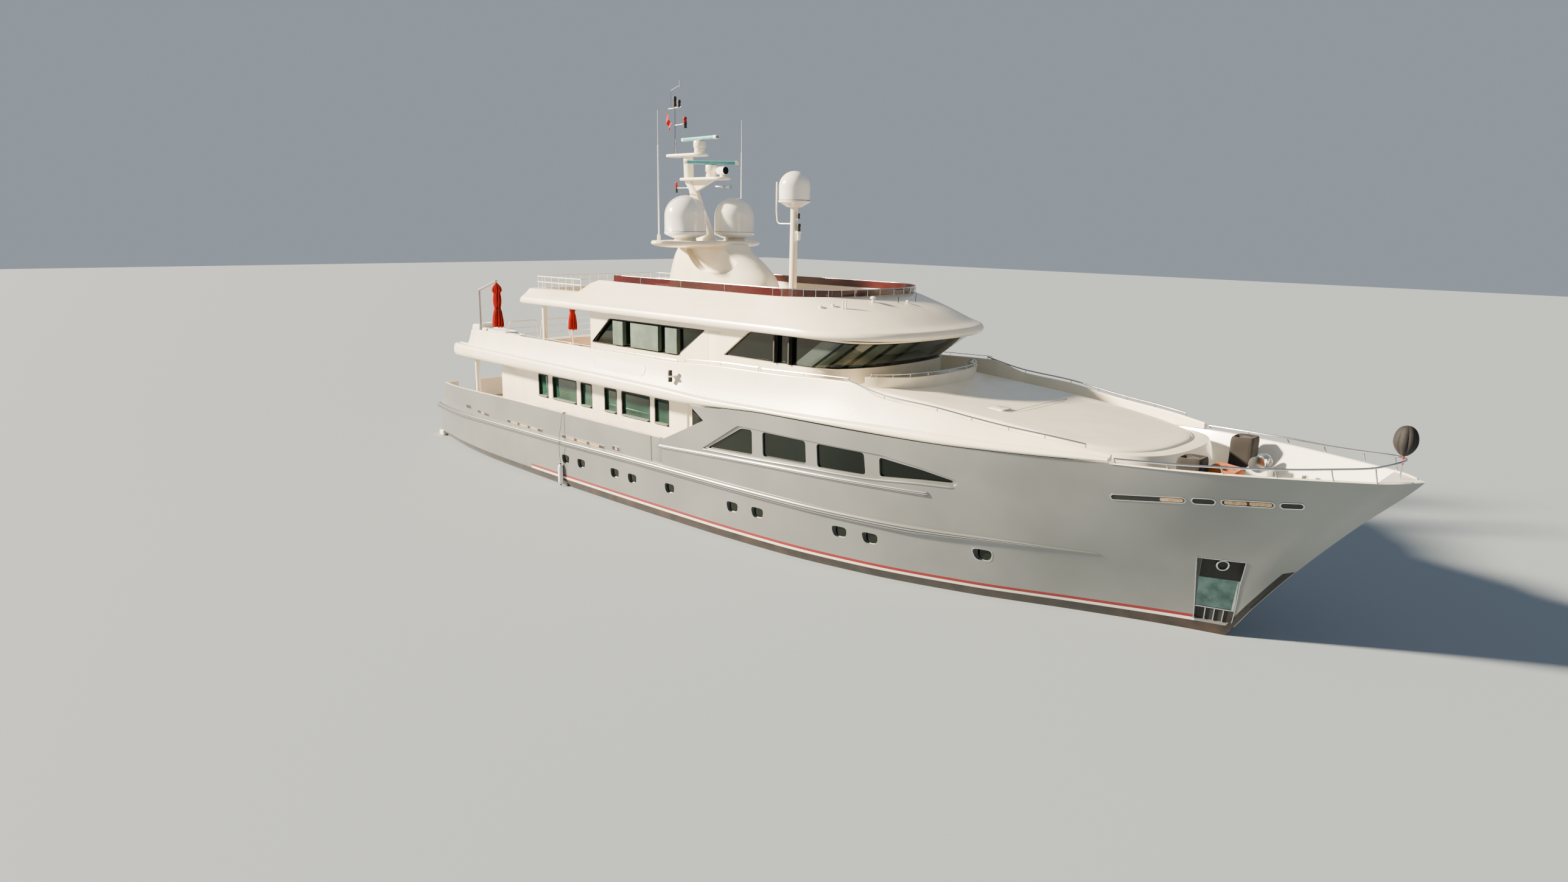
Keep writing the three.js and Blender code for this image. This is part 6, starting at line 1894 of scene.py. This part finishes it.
def cover_rings(low, high, bulge, seed, lean):
    """Rings round a box with rounded corners, from the hem up and over to the middle. Height and inset
    follow a quarter turn at the edge, and folds are sines of the way round that fade at the top."""
    rng = np.random.default_rng(seed)
    centre, half = (low + high) / 2, (high - low) / 2
    a = round_angles(96)[None]
    quarter = np.linspace(0.15, np.pi / 2, EDGE_RINGS)
    up = np.concatenate([np.linspace(0, 0.78, HEM_RINGS), 0.78 + 0.22 * np.sin(quarter),
                         np.full(EDGE_RINGS, 1.0)])[:, None]
    in_by = np.concatenate([np.zeros(HEM_RINGS), 0.16 * (1 - np.cos(quarter)),
                            np.linspace(0.22, 0.985, EDGE_RINGS)])[:, None]
    power = mix(0.28, 0.6, np.clip(in_by * 2, 0, 1))
    fold = sum(rng.uniform(0.3, 1) * np.sin(k * a + rng.uniform(0, 6.3) + 3 * up) for k in (5, 9, 14)) / 3
    reach = (1 - in_by) * (1 - 0.05 * np.sin(np.pi * up) + 0.022 * fold * (1 - 0.6 * up))
    x = centre[0] + half[0] * reach * fuller(np.cos(a), power)
    y = centre[1] + half[1] * reach * fuller(np.sin(a), power)
    inward = np.clip((in_by - 0.2) * 2.4, 0, 1)
    sag = 0.035 * inward + 0.05 * np.sin(np.pi * inward) * (1 - in_by) * (1 + np.sin(3 * a + seed))
    top = 1.0 - sag + 0.5 * bulge * (1 - in_by) * np.cos(a - 0.6)
    slope = 1 - lean * 0.5 * (1 + np.clip((x - centre[0]) / half[0], -1, 1))
    return row_of(x, y, low[2] + (high[2] - low[2]) * up * top * slope)


def cover(name, low, high, finish, bulge=0.0, seed=1, lean=0.0):
    """A draped sheet over a box, closed by a fan of triangles on top."""
    low, high = np.array(low, float), np.array(high, float)
    rings = cover_rings(low, high, bulge, seed, lean)
    many = rings.shape[1]
    points = np.concatenate([rings.reshape(-1, 3), rings[-1].mean(0)[None]])
    last = (len(rings) - 1) * many + np.arange(many)
    fan = [np.array([p, q, len(points) - 1]) for p, q in zip(last, np.roll(last, -1))]
    made = dress(thickened(name, points, quads(*rings.shape[:2]), fan), finish, crease=70)
    area = cloth_area(made)


for name, side in SIDES:
    for kind, low, high, bulge, seed, lean in COVERS:
        y = spread(side, low[1], high[1])
        cover(f"seat_cover_{kind}_{name}", (low[0], y[0], low[2]), (high[0], y[1], high[2]), white_canvas,
              bulge, seed, lean)

# %% [markdown]
# ## Foredeck gear
# Each side has a windlass, a capstan and a pair of bitts. Both capstans are under black covers, and
# the starboard windlass is under a rust-coloured one.

# %% Windlasses, capstans and bitts
GEAR_FOOT = 3845
REEL_AT, REEL_Z = 15925, 4330
REEL = [  # distance from the centreline, and radius
    (1020, 150), (1030, 205), (1070, 208), (1085, 140), (1160, 120), (1180, 150), (1440, 150), (1460, 120),
    (1535, 140), (1550, 208), (1590, 205), (1600, 150)]
CAPSTAN_AT = (15350, 1750)
CAPSTAN = [
    (0, 0), (285, 0), (290, 40), (250, 90), (215, 330), (190, 640), (200, 760), (196, 900), (150, 990),
    (0, 995)]
BITTS_AT, BITTS_Y = (17160, 17460), 760
BITT = [(0, 0), (78, 0), (78, 430), (66, 480), (0, 485)]

for name, side in SIDES:
    foot = prism(np.array(corners(15650, 16200, 1060, 1560)) * [1, side], 3840, 4200)
    piece(f"windlass_base_{name}", foot, white, soft=30)
    out, radius = np.array(REEL, float).T
    gear = [tube(row_of(REEL_AT, side * out, REEL_Z), radius, 32),
            turned(CAPSTAN, (CAPSTAN_AT[0], side * CAPSTAN_AT[1], GEAR_FOOT), 40),
            *[turned(BITT, (x, side * BITTS_Y, GEAR_FOOT), 28) for x in BITTS_AT],
            rod((17030, side * BITTS_Y, 4180), (17590, side * BITTS_Y, 4180), 43, sides=20)]
    piece(f"foredeck_gear_{name}", gear, stainless, crease=40)
for name, side in SIDES:
    y = spread(side, 1455, 2045)
    cover("capstan_cover_" + name, (15035, y[0], 3900), (15655, y[1], 4885), dark_canvas,
          0.05, 11, 0.0)
cover("windlass_cover", (15620, -1660, 3900), (16350, -980, 4720), rust_canvas,
      0.1, 13, 0.12)

# %% [markdown]
# ## Flag
# A small red flag hangs from the yard of the mast, with nothing on it. It is a flat patch between four
# corners with waves that grow towards its free end.

# %% Flag
HOIST = np.array([(-6290, 0, 14210), (-6360, 0, 13920)], float)
FLY = np.array([(-6020, 0, 13700), (-6110, 0, 13560)], float)
FLAG_ROWS, FLAG_COLUMNS = 24, 40
u = np.linspace(0, 1, FLAG_ROWS)[:, None, None]
v = np.linspace(0, 1, FLAG_COLUMNS)[None, :, None]
waves = np.concatenate(np.broadcast_arrays(
    12 * np.sin(9 * v), 48 * np.sin(11 * v + 1.5 * u) * (0.3 + v), -10 * np.sin(8 * u)), -1)
spot = mix(mix(*HOIST, u), mix(*FLY, u), v) + waves
flag = thickened("courtesy_flag", spot.reshape(-1, 3), quads(FLAG_ROWS, FLAG_COLUMNS, False), thick=1.5)
dress(flag, red_canvas, crease=70)
print("flag area", round(cloth_area(flag), 3))
cloth_area(flag) / 0.3

# %% [markdown]
# A black ball of canvas over hoops hangs over the bow on a short pole, ribbed and narrower below.

# %% The anchor ball
BALL_AT, BALL_Z, BALL_WIDE, BALL_TALL = 19270, 5660, 250, 345
a = np.linspace(-np.pi / 2, np.pi / 2, 33)[:, None]
b = round_angles(64)[None]
ribs = 0.9 + 0.1 * np.abs(np.cos(4 * b)) ** 0.7
narrower = 1 - 0.28 * np.clip(-np.sin(a), 0, 1) ** 2
r = BALL_WIDE * np.cos(a) ** 0.85 * ribs * narrower
ball = row_of(BALL_AT + r * np.cos(b), r * np.sin(b), BALL_Z + BALL_TALL * np.sin(a))
piece("anchor_ball_shape", shell(ball), black_canvas, instead=["anchor_ball"], crease=50)
piece("anchor_ball_pole", rod((BALL_AT, 0, 4780), (BALL_AT, 0, 5330), 16), stainless)
collars = [rod((BALL_AT, 0, low), (BALL_AT, 0, high), radius, sides=20)
           for low, high, radius in ((5240, 5325, 24), (5120, 5160, 22))]
piece("anchor_ball_joint", collars, lamp_red)

# %% [markdown]
# ## The stage
# A plain pale floor at the waterline, a wide sun low on the starboard side and an even pale sky.

# %% Floor and light
FLOOR_HALF = 200000
SUN_TOWARDS = (0.7, 0.62, -0.42)
SUN_STRENGTH, SUN_DEGREES, SUN_COLOUR = 22.0, 5, (1.0, 0.84, 0.61)
SKY_COLOUR, SKY_STRENGTH = "#d6e2f0", 0.45

flat = row_of(*np.array(corners(-FLOOR_HALF, FLOOR_HALF, -FLOOR_HALF, FLOOR_HALF)).T, 0) * MM
floor = object_of("floor", (flat, np.array([[0, 1, 2, 3]]), []))
floor_paint, _, floor_shader = material("pale_floor", None, Roughness=0.8)
floor_shader.inputs["Base Color"].default_value = linear("#8f9aa4")
floor.data.materials.append(floor_paint)

sun = object_with("key", bpy.data.lights.new("key", "SUN"))
sun.data.energy, sun.data.angle, sun.data.color = SUN_STRENGTH, math.radians(SUN_DEGREES), SUN_COLOUR
sun.rotation_euler = Vector(SUN_TOWARDS).to_track_quat("-Z", "Y").to_euler()
world = bpy.data.worlds.new("studio")
bpy.context.scene.world = world
world.use_nodes = True
background = world.node_tree.nodes["Background"]
background.inputs["Color"].default_value = linear(SKY_COLOUR)
background.inputs["Strength"].default_value = SKY_STRENGTH
print("sun strength", SUN_STRENGTH, "sky strength", SKY_STRENGTH)
